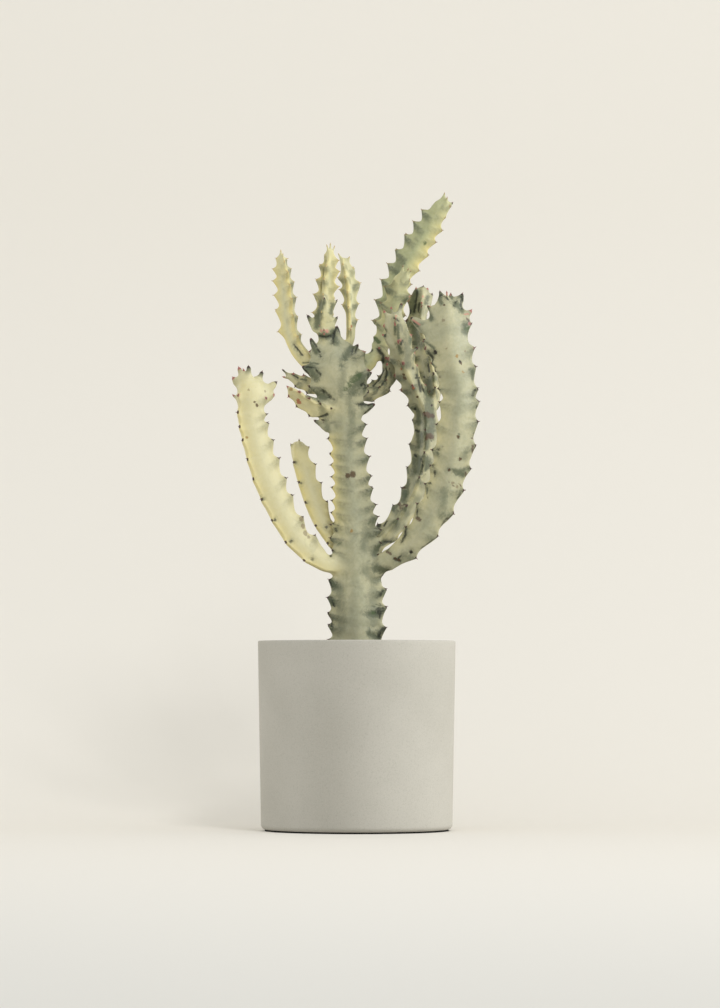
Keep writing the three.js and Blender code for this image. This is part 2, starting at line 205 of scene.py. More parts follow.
def new_material(name: str) -> tuple[bpy.types.Material, NodeSheet, bpy.types.Node]:
    """A fresh node material.

    Args:
        name: The material's name.

    Returns:
        The material, its tree writer and its surface shader.
    """
    material = bpy.data.materials.new(name)
    material.use_nodes = True
    return material, NodeSheet(material.node_tree), material.node_tree.nodes["Principled BSDF"]


# ---- Finishes ----


class Scar(Enum):
    """The colour and strength of an old mark on the skin."""

    BARK = (srgb(82, 62, 40), 0.9)
    BLACK = (srgb(38, 32, 26), 0.95)
    OCHRE = (srgb(150, 118, 60), 0.8)
    RUST = (srgb(160, 92, 62), 0.85)
    FAINT = (srgb(120, 104, 78), 0.6)


@dataclass(frozen=True)
class Mark:
    """An old mark: where it is seen on the upright plane through the pot's middle, and its radius."""

    across_mm: float
    height_mm: float
    radius_mm: float
    scar: Scar


BARK, BLACK, OCHRE, RUST, FAINT = Scar

# Later marks lie over earlier ones.
MARKS = (
    (-7.6, 295.7, 2.2, BARK), (-3.2, 297, 2.6, BARK), (-4.3, 249.6, 1.3, OCHRE), (66.4, 399.1, 1.4, BLACK),
    (65.4, 400.1, 1, BLACK), (83.9, 396.1, 1.4, OCHRE), (86.6, 391.5, 1.3, BLACK), (87.4, 389.9, 1.2, BARK),
    (72.3, 426.4, 1.3, FAINT), (84.7, 328.2, 1.3, BARK), (86.3, 309.8, 1.5, BARK), (77.1, 300.6, 1.2, BARK),
    (80.5, 289.7, 1.3, FAINT), (83.8, 286.4, 1.4, FAINT), (99.7, 317.3, 2.5, BLACK),
    (45.3, 232, 1.4, BLACK), (73.4, 439, 1, BARK), (90.6, 400.3, 1, FAINT), (75.2, 402.4, 0.8, FAINT),
    (88.9, 382.7, 0.9, OCHRE), (37.3, 385.2, 1.1, RUST), (39.2, 380.6, 1.4, BARK), (40.4, 377.7, 1.9, BARK),
    (47.1, 369.3, 1.4, RUST), (50.4, 361.8, 1.1, BARK), (35.4, 392, 0.9, FAINT), (59.6, 346.7, 2.7, BARK),
    (56.3, 347.9, 1.7, BARK), (61.3, 329.1, 2.5, BARK), (58.8, 327.4, 1.8, BARK), (60.9, 366.4, 1.2, BARK),
    (-90.5, 368, 1, FAINT), (-76.7, 366.4, 1, FAINT), (-85.4, 357.6, 0.9, BARK), (-83.4, 355, 1.3, BARK),
    (-92, 327.6, 1.1, OCHRE), (-90, 253.8, 1, OCHRE), (-46.1, 259.6, 2, FAINT), (-44.9, 253.8, 2.2, FAINT),
    (-42.8, 247.9, 2.3, FAINT), (-40.3, 244.6, 1.5, FAINT), (-48.3, 357.3, 1.9, RUST),
    (-49.1, 359.4, 1.3, RUST), (-55, 368.5, 1.7, OCHRE), (-4.6, 421.3, 1.1, RUST), (-5, 418.4, 0.8, RUST),
    (35.3, 225.3, 1.3, BARK), (32, 227, 1, BARK),
)


class Ink(Enum):
    """What a streak is made of, by the name of the skin's attribute that carries it; the shade ink is painted shade,
    together with the haze round the black streaks.
    """

    BLACK = "black"
    MOSS = "moss"
    SHADE = "shade"
    LEAF = "leaf"
    ROSY = "rosy"
    BARK = "bark"


# Streaks on the side that the photograph shows: marbling and marks, with painted shade in the shade ink and in some
# moss and black rows.
# Each row has a width, and then x and y of each point that it runs through, all in pixels of the photograph.
STREAKS = {
    Ink.BLACK: (
        (3.2, 245.5, 460), (3, 252.4, 479), (3.2, 262.6, 499), (3, 274.8, 520), (3.2, 291, 541.5),
        (3.2, 312.4, 559.4), (2.6, 295, 462), (2.6, 301, 483), (2.8, 306, 503), (2.4, 314, 380),
        (2, 301, 367, 304, 370, 307, 372, 309, 377),
        (2, 305.5, 367, 309, 366.5, 314, 368.5, 317, 371, 321, 376), (1.8, 310, 340, 310, 350),
        (2, 312.5, 341, 316, 345, 319, 351, 321.5, 358), (2.2, 319, 336, 325, 337, 331, 336),
        (3, 336, 328, 333, 338, 332, 343), (2, 338, 328, 342, 334), (2, 353, 349, 350, 356),
        (2, 357, 347, 354, 358), (1.8, 292, 374, 298, 378), (3, 322, 390, 327, 394, 333, 399.5),
        (2, 318, 400, 321, 405), (3, 307, 396), (2, 315, 419, 320, 417, 326, 415), (3.4, 327, 414.5),
        (2, 361, 385, 364, 388), (2, 363, 383, 367, 388), (3, 370.5, 370, 372, 374),
        (2, 368, 374, 368.5, 380, 370, 382), (3, 375, 405), (2.5, 366, 401, 373, 403),
        (3, 358, 404.5, 370, 404), (2, 371, 408, 366, 412, 363, 418), (4, 378, 349, 383, 355, 383, 362),
        (2.5, 384, 366, 387, 372, 385, 380, 380, 387), (2, 383, 371, 378, 381), (2, 378, 380, 373, 386),
        (3, 390, 388), (2, 294, 345, 298, 350, 302, 355), (2.5, 366, 355, 372, 350),
        (3, 439, 295, 442, 295), (2, 446, 297, 449, 300), (3, 461.5, 297, 464, 302),
        (1.8, 456, 301, 454, 306), (2, 461, 301, 462, 309), (3, 470, 322, 473, 326),
        (2, 470, 330, 469.5, 339), (2, 475, 350, 473, 359), (3, 475, 362), (3, 477, 367), (3, 476, 390),
        # Painted shade: the black rows from (416, 346) to (420, 349) and from (428, 352) to (430, 363) darken the
        # shaded hollow under the ear and the crease beside it, and those from (416, 378) to (424, 391) the dark gap
        # between the stems.
        (2, 474, 391, 473, 396), (2, 413, 322, 417, 326, 421, 330), (4, 416, 346, 420, 349), (3, 422, 341),
        (4, 428, 352, 432, 358, 430, 363), (2, 434, 351, 437.5, 355), (2, 429, 357, 428, 364, 429, 372),
        (1.6, 433, 389.5, 439, 389.5), (2.5, 416, 378, 424, 377), (3, 419, 380, 421, 391),
        (2.5, 422, 385, 424, 391), (3, 413.5, 368), (3, 417, 375), (2, 392, 308, 396, 311), (2, 402, 304),
        (2.5, 394.5, 318, 398.5, 320.5), (2.5, 402.5, 340.5, 401, 345), (2.5, 385, 331, 385, 336),
        (2.5, 406, 308, 407, 320), (2.4, 412, 290, 410.5, 300, 410, 313),
        (2.4, 417, 290, 416, 300, 414, 312), (2, 419, 303, 418, 312), (2, 419, 313, 421, 317),
        (3, 427, 308.5), (3, 415, 409), (2.4, 433, 418, 434, 424), (2.4, 432, 441, 434, 446),
        (3, 414, 430.5, 419, 431.5), (2.2, 414, 454.5, 416, 456), (1.8, 421, 459, 423, 467, 422, 474),
        (3, 438, 449), (3, 433, 465), (1.6, 434, 468, 435, 477), (3, 429.5, 483), (4, 417, 502),
        (1.6, 417, 505, 417, 516), (3, 407, 524.5), (2.5, 406, 527, 405, 536, 401, 542),
        (1.8, 477, 405, 477, 414), (4, 478, 422), (2.2, 479, 425, 478, 438), (3, 477, 446),
        (2, 475, 448, 473, 456), (3, 472, 469), (3, 463, 491), (1.8, 461, 493, 457, 499), (3, 454, 513),
        (2, 453, 515, 447, 519, 442, 525), (3, 439, 536.5), (2.5, 438, 538, 430, 543, 422, 549),
        (4, 411, 552), (1.4, 397, 558, 402, 556), (3, 460, 459), (3, 449, 470), (3, 394, 559, 400, 561),
        (5, 384, 629, 379, 637), (3.5, 384, 608, 380, 617), (2.6, 381, 606, 378, 611, 379, 618),
        (2.5, 383, 591, 378, 598), (2.5, 389, 574, 384, 575, 381, 579), (2.5, 391, 542, 385, 542),
        (2.5, 390, 544, 388, 549), (3, 379, 520, 380, 525, 377, 528), (2, 387, 521, 384, 526),
        (2.5, 328, 550, 331, 556), (1.8, 327, 580, 331, 584, 333, 589), (3, 330, 597),
        (1.8, 331, 600, 334, 606), (2.2, 331, 620, 332, 626), (3, 333, 523), (3.2, 336, 525.5),
        (2, 335, 528, 335.5, 532), (3, 326.5, 527),
    ),
    Ink.MOSS: (
        # Mostly grey-green marbling; the rows from (428, 382) to (427, 464) and from (428, 396) to (427, 448) are
        # painted shade in the inner right arm's groove, and those from (414, 330) to (417, 343) and from (405, 302)
        # to (407, 309) painted shade in hollows.
        (9, 418, 459, 419, 472), (6, 414, 458, 415, 471), (7, 407, 482, 403, 500), (6, 418, 412, 419, 422),
        (6, 418, 434, 419, 446), (10, 428, 382, 429, 400, 431, 412, 431, 430, 429, 450, 427, 464),
        (2, 303, 363, 308, 362.5, 318, 364), (5, 312, 346, 316, 352), (7, 333, 332, 336, 342),
        (2, 352, 346, 347, 352), (2.6, 350, 352, 344, 361, 341, 366), (2, 301, 379, 306, 380),
        (8, 313, 394, 325, 397), (2, 309, 397, 313, 398), (2, 352, 390, 354, 394), (2, 356, 385, 360, 388),
        (5, 439, 297, 441, 303), (4, 450, 295, 452, 298), (7, 456, 304, 462, 310), (6, 472, 370, 474, 378),
        (8, 414, 330, 417, 343), (3, 424, 341, 434, 348), (2.5, 430, 362, 436, 368),
        (2, 460.5, 360, 462, 365), (6, 405, 302, 407, 309), (3, 395, 322, 395, 334),
        (3, 398, 325, 398.5, 340), (5, 399, 347, 401, 352), (6, 427, 312, 431, 318),
        (4, 421, 433, 422, 442), (4, 426, 458, 426, 470), (2.5, 397, 488, 398, 498),
        (3, 393, 509, 398, 505), (6, 428, 396, 426, 424, 427, 448), (2, 438, 452, 439, 458),
        (1.6, 427, 488, 427, 498), (4, 470, 467, 463, 470, 458, 474), (7, 455, 471, 463, 475),
        (2.5, 459, 434, 459, 438), (7, 370, 634, 378, 638), (4, 372, 628, 369, 634),
        (6, 368, 614, 376, 615), (2, 380, 604, 373, 607), (9, 376, 568, 386, 571),
        (6, 386, 542, 379, 546, 374, 554), (7, 330, 579, 334, 587), (7, 322, 303, 318, 316, 317, 326),
        (5, 333, 305, 331, 313), (8, 414, 292, 412, 312), (5, 427.5, 297, 426, 303),
        (7, 320, 336, 331, 336), (9, 309, 367, 316, 378), (8, 345, 357, 352, 348), (11, 363, 377, 353, 391),
        (7, 362, 405, 370, 403), (8, 465, 325, 466, 332),
    ),
    Ink.ROSY: (
        (3.4, 321, 331), (3.6, 327, 331), (2.4, 324, 334), (2.6, 317, 335), (1.8, 357, 338, 357.5, 343),
        (3, 445, 294, 450, 294), (2, 465, 314, 468, 314), (2, 413, 320, 420, 325), (3, 384.5, 311.5),
        (3, 391, 306), (3, 398, 303.5), (2.6, 396, 316), (2.6, 401, 340), (2.6, 382.5, 334.5),
        (3, 410, 297), (3, 423, 296.5), (3, 428, 288.5), (2, 429.5, 306),
    ),
    Ink.SHADE: (
        # Painted shade, with some grey-green marbling: darker bands on the sides of the trunk and arms turned from
        # the light, in their grooves and in the hollows between stems.
        (10, 400, 262, 388, 290), (8, 342, 358, 343, 376, 341, 394), (9, 360, 376, 366, 388),
        (8, 348, 396, 352, 420, 350, 445), (7, 322, 408, 328, 430), (10, 408, 325, 408, 365),
        (9, 420, 325, 421, 336), (12, 426, 468, 424, 484, 416, 500), (9, 414, 500, 400, 520, 392, 528),
        (9, 445, 490, 441, 515), (6, 466, 452, 464, 458), (11, 366, 570, 374, 580), (9, 366, 530, 364, 548),
        (10, 340, 590, 341, 625), (9, 374, 520, 370, 535), (12, 374, 590, 374, 622),
        (9, 418, 292, 420, 312),
    ),
    Ink.LEAF: (
        (7, 352, 380, 359, 375), (4.5, 346, 389, 348.5, 384), (4, 375, 338, 379, 342), (4, 425, 243),
        (4, 466, 328.5, 469, 328.5), (3, 376, 612, 371, 613.5),
    ),
    Ink.BARK: (
        (2, 467, 318, 469, 321), (2.4, 440, 377), (3, 398, 487, 405, 488), (4, 399, 503, 401, 508),
        (1.8, 402, 505, 408, 505), (4, 417, 518, 420, 520), (2, 472, 438, 475, 439),
        (3, 473, 446, 473, 455), (2, 466, 472, 466, 477), (3, 448, 519), (2.4, 443.5, 447),
        (1.4, 448, 481, 450, 484), (1.4, 452, 484, 455, 488), (1.4, 453, 482, 457, 486),
        (1.4, 458, 482, 461, 486), (3, 387, 552, 391, 554), (3.4, 330, 616), (3.4, 327, 638),
        (5, 425, 414, 433, 416), (5.5, 428, 436, 432, 437),
    ),
}


@dataclass(frozen=True)
class Finish:
    """A finish that is the same on every piece that wears it."""

    name: str

    def make(self) -> bpy.types.Material:
        """Builds the material.

        Returns:
            The material.
        """
        material, sheet, shader = new_material(self.name)
        for name, value in self.surface(sheet, sheet.place()).items():
            sheet.feed(shader, name, value)
        return material

    def surface(self, sheet: NodeSheet, place: Socket) -> dict:
        """The shader's inputs by name; each finish gives its own from the sheet and the coordinates."""
        raise NotImplementedError


class Coats:
    """Coats of colour, one over another, and the noises of the skin that break their edges."""

    def __init__(self, sheet: NodeSheet, place: Socket) -> None:
        """Starts with the noises, and no colour yet.

        Args:
            sheet: The tree writer.
            place: The coordinates.
        """
        self.sheet, self.place, self.colour = sheet, place, None
        self.cloud = sheet.noise(place, 42, 5, 0.6, 0.5)
        self.mottled = sheet.noise(place, 170, 6, 0.72, 1.4)
        self.fine = sheet.noise(place, 420, 4, 0.6)

    def lay(self, share: object, colour: object) -> None:
        """Lays a share of a colour over the coats so far."""
        self.colour = self.sheet.blend(share, self.colour, colour)

    def lay_value(self, name: str, strength: float, colour: object) -> None:
        """Lays a colour where one of the mesh's attributes says so."""
        self.lay(self.sheet.times(self.sheet.value(name), strength), colour)


@dataclass(frozen=True)
class StemSkin(Finish):
    """Waxy marbled skin: pale faces, yellow rib edges, grey-green streaks that run to each tooth, and streaks of
    painted shade.
    """

    name: str = "stem_skin"
    grey: tuple = srgb(152, 153, 126)
    pale: tuple = srgb(177, 174, 142)
    cream: tuple = srgb(203, 197, 157)
    yellow: tuple = srgb(216, 202, 136)
    lime: tuple = srgb(157, 163, 117)
    streak: tuple = srgb(80, 88, 66)
    deep: tuple = srgb(42, 50, 34)
    leaf: tuple = srgb(66, 84, 48)
    black: tuple = srgb(34, 39, 27)
    bark: tuple = srgb(74, 50, 38)
    cork: tuple = srgb(52, 34, 28)
    blush: tuple = srgb(188, 118, 108)
    tan: tuple = srgb(196, 178, 122)
    bloom: tuple = srgb(226, 222, 198)
    roughness: float = 0.5
    scar_wobble: float = 0.003
    scars: tuple = ()

    def surface(self, sheet: NodeSheet, place: Socket) -> dict:
        """Lays all the coats.

        Args:
            sheet: The tree writer.
            place: The coordinates.

        Returns:
            The shader's inputs by name.
        """
        coats = Coats(sheet, place)
        for step in (self.faces, self.marbling, self.weather, self.streaks, self.eyes, self.old_marks):
            step(coats)
        gloss = sheet.ramp(coats.cloud, 0.3, 0.7, self.roughness - 0.06, self.roughness + 0.1)
        relief = sheet.maths("ADD", sheet.times(coats.fine, 0.5), sheet.times(coats.mottled, 0.8))
        return {"Base Color": coats.colour, "Roughness": gloss, "Normal": sheet.bump(0.22, 0.0005, relief),
                "Subsurface Weight": 0.1, "Subsurface Radius": (1.0, 0.8, 0.4), "Subsurface Scale": 0.002,
                "Specular IOR Level": 0.35}

    def faces(self, coats: Coats) -> None:
        """Lays the plain colour of the faces, yellower towards warm rib edges.

        Args:
            coats: The coats, which this one starts.
        """
        sheet = coats.sheet
        coats.colour = sheet.blend(sheet.ramp(coats.cloud, 0.35, 0.68), self.grey, self.pale)
        coats.lay_value("cream", 0.95, self.cream)
        coats.lay_value("young", 0.9, self.lime)
        uneven = sheet.ramp(coats.cloud, 0.3, 0.7, 0.7, 1.2)
        coats.lay(sheet.times(sheet.value("warm"), uneven, clamp=True), self.yellow)
        coats.lay_value("fringe", 0.9, self.yellow)

    def marbling(self, coats: Coats) -> None:
        """Lays the grey-green patches and veins that run to each tooth.

        Args:
            coats: The coats so far.
        """
        sheet, mottled = coats.sheet, coats.mottled
        plain = sheet.maths("SUBTRACT", 1.0, sheet.value("fringe"), clamp=True)
        green = sheet.times(sheet.value("green"), plain, clamp=True)
        patch = sheet.times(sheet.value("streak"), sheet.ramp(mottled, 0.3, 0.6, 0.6, 1.2))
        patch = sheet.times(patch, green, clamp=True)
        coats.lay(sheet.times(patch, 0.9), self.streak)
        vein = sheet.times(sheet.value("line"), sheet.ramp(mottled, 0.35, 0.6, 0.3, 1.2))
        coats.lay(sheet.times(sheet.times(vein, green, clamp=True), 0.75), self.deep)
        island = sheet.ramp(sheet.noise(coats.place, 62, 5, 0.65, 1.0), 0.54, 0.7)
        island = sheet.times(island, green, clamp=True)
        coats.lay(sheet.times(island, 0.35), self.streak)
        heart = sheet.times(island, sheet.ramp(patch, 0.1, 0.6), clamp=True)
        coats.lay(sheet.times(heart, 0.7), self.leaf)
        dark = sheet.times(sheet.value("dark"), sheet.ramp(mottled, 0.3, 0.6, 0.75, 1.1), clamp=True)
        coats.lay(sheet.times(dark, 0.85), self.deep)

    def weather(self, coats: Coats) -> None:
        """Lays specks and a fine bloom.

        Args:
            coats: The coats so far.
        """
        speck = coats.sheet.ramp(coats.sheet.noise(coats.place, 620, 3, 0.6), 0.68, 0.76)
        coats.lay(coats.sheet.times(speck, 0.2), self.cork)
        coats.lay(coats.sheet.ramp(coats.fine, 0.3, 0.7, 0.0, 0.1), self.bloom)

    def streaks(self, coats: Coats) -> None:
        """Lays the single streaks and dots, their edges broken by a noise; the shade ink, and some moss and black
        streaks, are painted shade.

        Args:
            coats: The coats so far.
        """
        sheet = coats.sheet
        broken = sheet.times(sheet.maths("SUBTRACT", coats.mottled, 0.5), 1.5)
        # The shade ink lays painted shade in the marbling colour on shaded sides, grooves and hollows.
        for ink, colour, strength, low, high in (
                (Ink.SHADE, self.streak, 0.55, 0.05, 1.1), (Ink.MOSS, self.streak, 0.85, 0.1, 1.0),
                (Ink.LEAF, self.leaf, 0.8, 0.2, 0.9), (Ink.BARK, self.bark, 0.8, 0.3, 0.85),
                (Ink.BLACK, self.black, 0.92, 0.15, 1.0), (Ink.ROSY, self.blush, 0.7, 0.3, 0.85)):
            drawn = sheet.value(ink.value)
            amount = sheet.ramp(sheet.maths("ADD", drawn, broken), low, high, 0.0, strength)
            coats.lay(sheet.times(amount, sheet.ramp(drawn, 0.0, 0.3), clamp=True), colour)

    def eyes(self, coats: Coats) -> None:
        """Lays the corky or rosy point of each tooth.

        Args:
            coats: The coats so far.
        """
        sheet = coats.sheet
        tooth, blush = sheet.value("tooth"), sheet.value("blush")
        flushed = sheet.times(sheet.ramp(tooth, 0.15, 0.6), blush)
        coats.lay(sheet.times(flushed, 0.7), self.blush)
        horn = sheet.blend(sheet.times(blush, 0.6), self.cork, self.blush)
        horn = sheet.blend(sheet.value("tan"), horn, self.tan)
        coats.lay(sheet.times(sheet.ramp(tooth, 0.5, 0.72), 0.95), horn)

    def old_marks(self, coats: Coats) -> None:
        """Lays the old marks, their edges broken by a noise.

        Args:
            coats: The coats so far.
        """
        sheet = coats.sheet
        wobble = sheet.add("ShaderNodeTexNoise", Vector=coats.place, Scale=700, Detail=3)
        centred = sheet.vector("SUBTRACT", wobble.outputs["Color"], (0.5, 0.5, 0.5))
        moved = sheet.vector("MULTIPLY_ADD", centred.outputs[0], (self.scar_wobble,) * 3, coats.place)
        for middle, radius, scar in self.scars:
            gap = sheet.vector("DISTANCE", moved.outputs[0], tuple(middle)).outputs["Value"]
            colour, strength = scar.value
            coats.lay(sheet.ramp(gap, radius * 1.3, radius * 0.75, 0.0, strength), colour)


@dataclass(frozen=True)
class SpineHorn(Finish):
    """Hard, dark horn of the spines, pink and paler where the growth is young."""

    name: str = "spine_horn"
    old: tuple = srgb(70, 46, 38)
    young: tuple = srgb(168, 104, 94)
    tan: tuple = srgb(190, 166, 112)
    worn: tuple = srgb(150, 110, 90)

    def surface(self, sheet: NodeSheet, place: Socket) -> dict:
        """Horn that is pink or tan by the spine's own attributes.

        Args:
            sheet: The tree writer.
            place: The coordinates.

        Returns:
            The shader's inputs by name.
        """
        grain = sheet.noise(place, 900, 3)
        base = sheet.blend(sheet.value("blush"), self.old, self.young)
        base = sheet.blend(sheet.value("tan"), base, self.tan)
        base = sheet.blend(sheet.ramp(grain, 0.3, 0.7, 0.0, 0.3), base, self.worn)
        return {"Base Color": base, "Roughness": sheet.ramp(grain, 0.3, 0.7, 0.45, 0.65)}


@dataclass(frozen=True)
class PotFinish(Finish):
    """Matte fired clay with a very fine grain and a soft sheen, and painted shade on the ring below it: nearly
    black, as the shadow in the gap under the foot.
    """

    name: str = "pot_finish"
    body: tuple = srgb(171, 168, 158)
    dark: tuple = srgb(148, 145, 135)
    light: tuple = srgb(191, 188, 179)
    # Painted shade: the recessed ring under the foot, coloured nearly black for the shadow in the gap beneath the
    # pot.
    ring: tuple = srgb(14, 14, 13)
    ring_height: float = 0.0013
    ring_share: float = 0.98
    roughness: float = 0.82

    def surface(self, sheet: NodeSheet, place: Socket) -> dict:
        """Clouded, flecked and grained clay.

        Args:
            sheet: The tree writer.
            place: The coordinates.

        Returns:
            The shader's inputs by name.
        """
        grain, fleck = sheet.noise(place, 1400, 3, 0.7), sheet.noise(place, 900, 4, 0.7)
        base = sheet.blend(sheet.ramp(sheet.noise(place, 14, 4), 0.3, 0.7, 0.0, 0.35), self.body, self.light)
        base = sheet.blend(sheet.ramp(fleck, 0.5, 0.68, 0.0, 0.42), base, self.dark)
        base = sheet.blend(sheet.ramp(grain, 0.5, 0.74, 0.0, 0.55), base, self.light)
        height = sheet.add("ShaderNodeSeparateXYZ", Vector=place).outputs["Z"]
        # Painted shade: nearly black below the ring's top, for the shadow under the foot.
        base = sheet.blend(sheet.maths("LESS_THAN", height, self.ring_height * self.ring_share), base, self.ring)
        relief = sheet.maths("ADD", grain, sheet.times(fleck, 0.8))
        gloss = sheet.ramp(fleck, 0.3, 0.7, self.roughness - 0.05, self.roughness + 0.08)
        return {"Base Color": base, "Roughness": gloss, "Normal": sheet.bump(0.3, 0.0003, relief),
                "Specular IOR Level": 0.3}


@dataclass(frozen=True)
class PottingMix(Finish):
    """Dark, fibrous potting mix."""

    name: str = "potting_mix"
    dark: tuple = srgb(44, 35, 28)
    light: tuple = srgb(96, 78, 60)

    def surface(self, sheet: NodeSheet, place: Socket) -> dict:
        """Two browns in clods.

        Args:
            sheet: The tree writer.
            place: The coordinates.

        Returns:
            The shader's inputs by name.
        """
        clod = sheet.noise(place, 240, 6, 0.7)
        return {"Base Color": sheet.blend(sheet.ramp(clod, 0.35, 0.7), self.dark, self.light),
                "Roughness": sheet.ramp(clod, 0.3, 0.7, 0.85, 1.0), "Normal": sheet.bump(0.6, 0.0012, clod)}


@dataclass(frozen=True)
class Grit(Finish):
    """Pale mineral grit among the potting mix."""

    name: str = "grit"
    pale: tuple = srgb(206, 198, 180)
    warm: tuple = srgb(150, 124, 96)
    dust: tuple = srgb(92, 78, 62)

    def surface(self, sheet: NodeSheet, place: Socket) -> dict:
        """Stone from pale to warm, dusted with soil.

        Args:
            sheet: The tree writer.
            place: The coordinates.

        Returns:
            The shader's inputs by name.
        """
        fine = sheet.noise(place, 900, 4)
        base = sheet.blend(sheet.ramp(sheet.noise(place, 90, 2), 0.4, 0.6), self.pale, self.warm)
        base = sheet.blend(sheet.ramp(fine, 0.4, 0.7, 0.0, 0.4), base, self.dust)
        return {"Base Color": base, "Roughness": sheet.ramp(fine, 0.3, 0.7, 0.8, 0.95)}


# ---- Meshes ----


def write_values(mesh: bpy.types.Mesh, name: str, values: Array) -> None:
    """Writes one number for each corner under an attribute's name."""
    layer = mesh.attributes.get(name) or mesh.attributes.new(name, "FLOAT", "POINT")
    layer.data.foreach_set("value", np.asarray(values, dtype=np.float32))


def read_values(mesh: bpy.types.Mesh, name: str) -> Array:
    """Reads the numbers of one corner attribute.

    Args:
        mesh: The mesh.
        name: The attribute's name.

    Returns:
        One number for each corner.
    """
    values = np.zeros(len(mesh.vertices), dtype=np.float32)
    mesh.attributes[name].data.foreach_get("value", values)
    return values


def positions(mesh: bpy.types.Mesh) -> Array:
    """Reads the corner positions of a mesh.

    Args:
        mesh: The mesh.

    Returns:
        The positions, one a row.
    """
    flat = np.zeros(len(mesh.vertices) * 3, dtype=np.float32)
    mesh.vertices.foreach_get("co", flat)
    return flat.reshape(-1, 3).astype(float)


def set_positions(mesh: bpy.types.Mesh, place: Array) -> None:
    """Moves the corners of a mesh to new positions."""
    mesh.vertices.foreach_set("co", place.astype(np.float32).ravel())
    mesh.update()


def mesh_object(name: str, corners: object, faces: list, values: dict | None = None) -> Thing:
    """A mesh object in the scene.

    Args:
        name: Its name.
        corners: Corner positions.
        faces: Corner numbers of each face.
        values: Numbers for each corner under each attribute's name.

    Returns:
        The object.
    """
    mesh = bpy.data.meshes.new(name)
    mesh.from_pydata(np.asarray(corners).tolist(), [], faces)
    for key, value in (values or {}).items():
        write_values(mesh, key, value)
    mesh.update()
    thing = bpy.data.objects.new(name, mesh)
    bpy.context.scene.collection.objects.link(thing)
    return thing


def dressed(thing: Thing, material: bpy.types.Material) -> Thing:
    """Gives an object one material and smooth shading.

    Args:
        thing: The object.
        material: Its material.

    Returns:
        The same object.
    """
    thing.data.materials.clear()
    thing.data.materials.append(material)
    for polygon in thing.data.polygons:
        polygon.use_smooth = True
    return thing


def applied(thing: Thing) -> Thing:
    """Makes an object's modifiers part of its mesh.

    Args:
        thing: The object.

    Returns:
        The same object with a plain mesh.
    """
    graph = bpy.context.evaluated_depsgraph_get()
    evaluated = thing.evaluated_get(graph)
    mesh = bpy.data.meshes.new_from_object(evaluated, preserve_all_data_layers=True, depsgraph=graph)
    thing.modifiers.clear()
    thing.data = mesh
    mesh.name = thing.name
    return thing


def tube_faces(rings: int, around: int, downwards: bool = False) -> list:
    """The faces of a tube closed by two fans, whose middles are the last two corners.

    Args:
        rings: Rings of corners.
        around: Corners in each ring.
        downwards: Whether the rings run the other way, so that the faces have to turn round.

    Returns:
        Corner numbers of each face.
    """
    index = np.arange(rings * around).reshape(rings, around)
    following = np.roll(index, -1, axis=1)
    quads = np.stack([index[:-1], index[1:], following[1:], following[:-1]], -1).reshape(-1, 4)
    foot, top = rings * around, rings * around + 1
    faces = quads.tolist() + [[foot, a, b] for a, b in zip(index[0].tolist(), following[0].tolist())]
    faces += [[top, b, a] for a, b in zip(index[-1].tolist(), following[-1].tolist())]
    return [face[:1] + face[:0:-1] for face in faces] if downwards else faces


def tree_of(points: Array) -> KDTree:
    """A search tree over points.

    Args:
        points: The points, one a row.

    Returns:
        The balanced tree.
    """
    tree = KDTree(len(points))
    for number, point in enumerate(points):
        tree.insert(point, number)
    tree.balance()
    return tree


# ---- Stems ----


@dataclass(frozen=True)
class Rib:
    """One rib of a stem: its direction round the stem, the heights of its eyes, and its own look."""

    angle: float
    eyes_mm: tuple = ()
    tooth: float = 1.0
    warm: float = 0.5
    green: float = 1.0
    fringe_mm: tuple = (0.0, 0.0)


@dataclass(frozen=True)
class Look:
    """How a stem is coloured: shares of cream, young lime, green marbling, and pink or tan tips."""

    cream: float = 0.0
    young: float = 0.0
    green: float = 0.8
    blush_from_mm: float = 1000.0
    blush_full_mm: float = 1001.0
    pale_tips: float = 0.0

    def blush_at(self, height_mm: object) -> object:
        """How pink the growth is at a height, 0 to 1."""
        return np.clip((height_mm - self.blush_from_mm) / (self.blush_full_mm - self.blush_from_mm), 0, 1)


class Tone(Enum):
    """How a bud is coloured: its shares of green, pink and dark."""

    PLAIN = (0.55, 0.0, 0.0)
    DARK = (1.0, 0.0, 1.0)
    PINK = (0.5, 1.0, 0.4)
    YOUNG = (0.2, 0.15, 0.0)


@dataclass(frozen=True)
class Stem:
    """One stem axis: stations of (x, y, z, rib reach) in millimetres, with its ribs."""

    name: str
    stations: tuple
    ribs: tuple
    look: Look
    pitch_mm: float = 15.0
    tooth_mm: float = 3.0
    hollow: float = 0.6
    tip_gain: float = 1.0


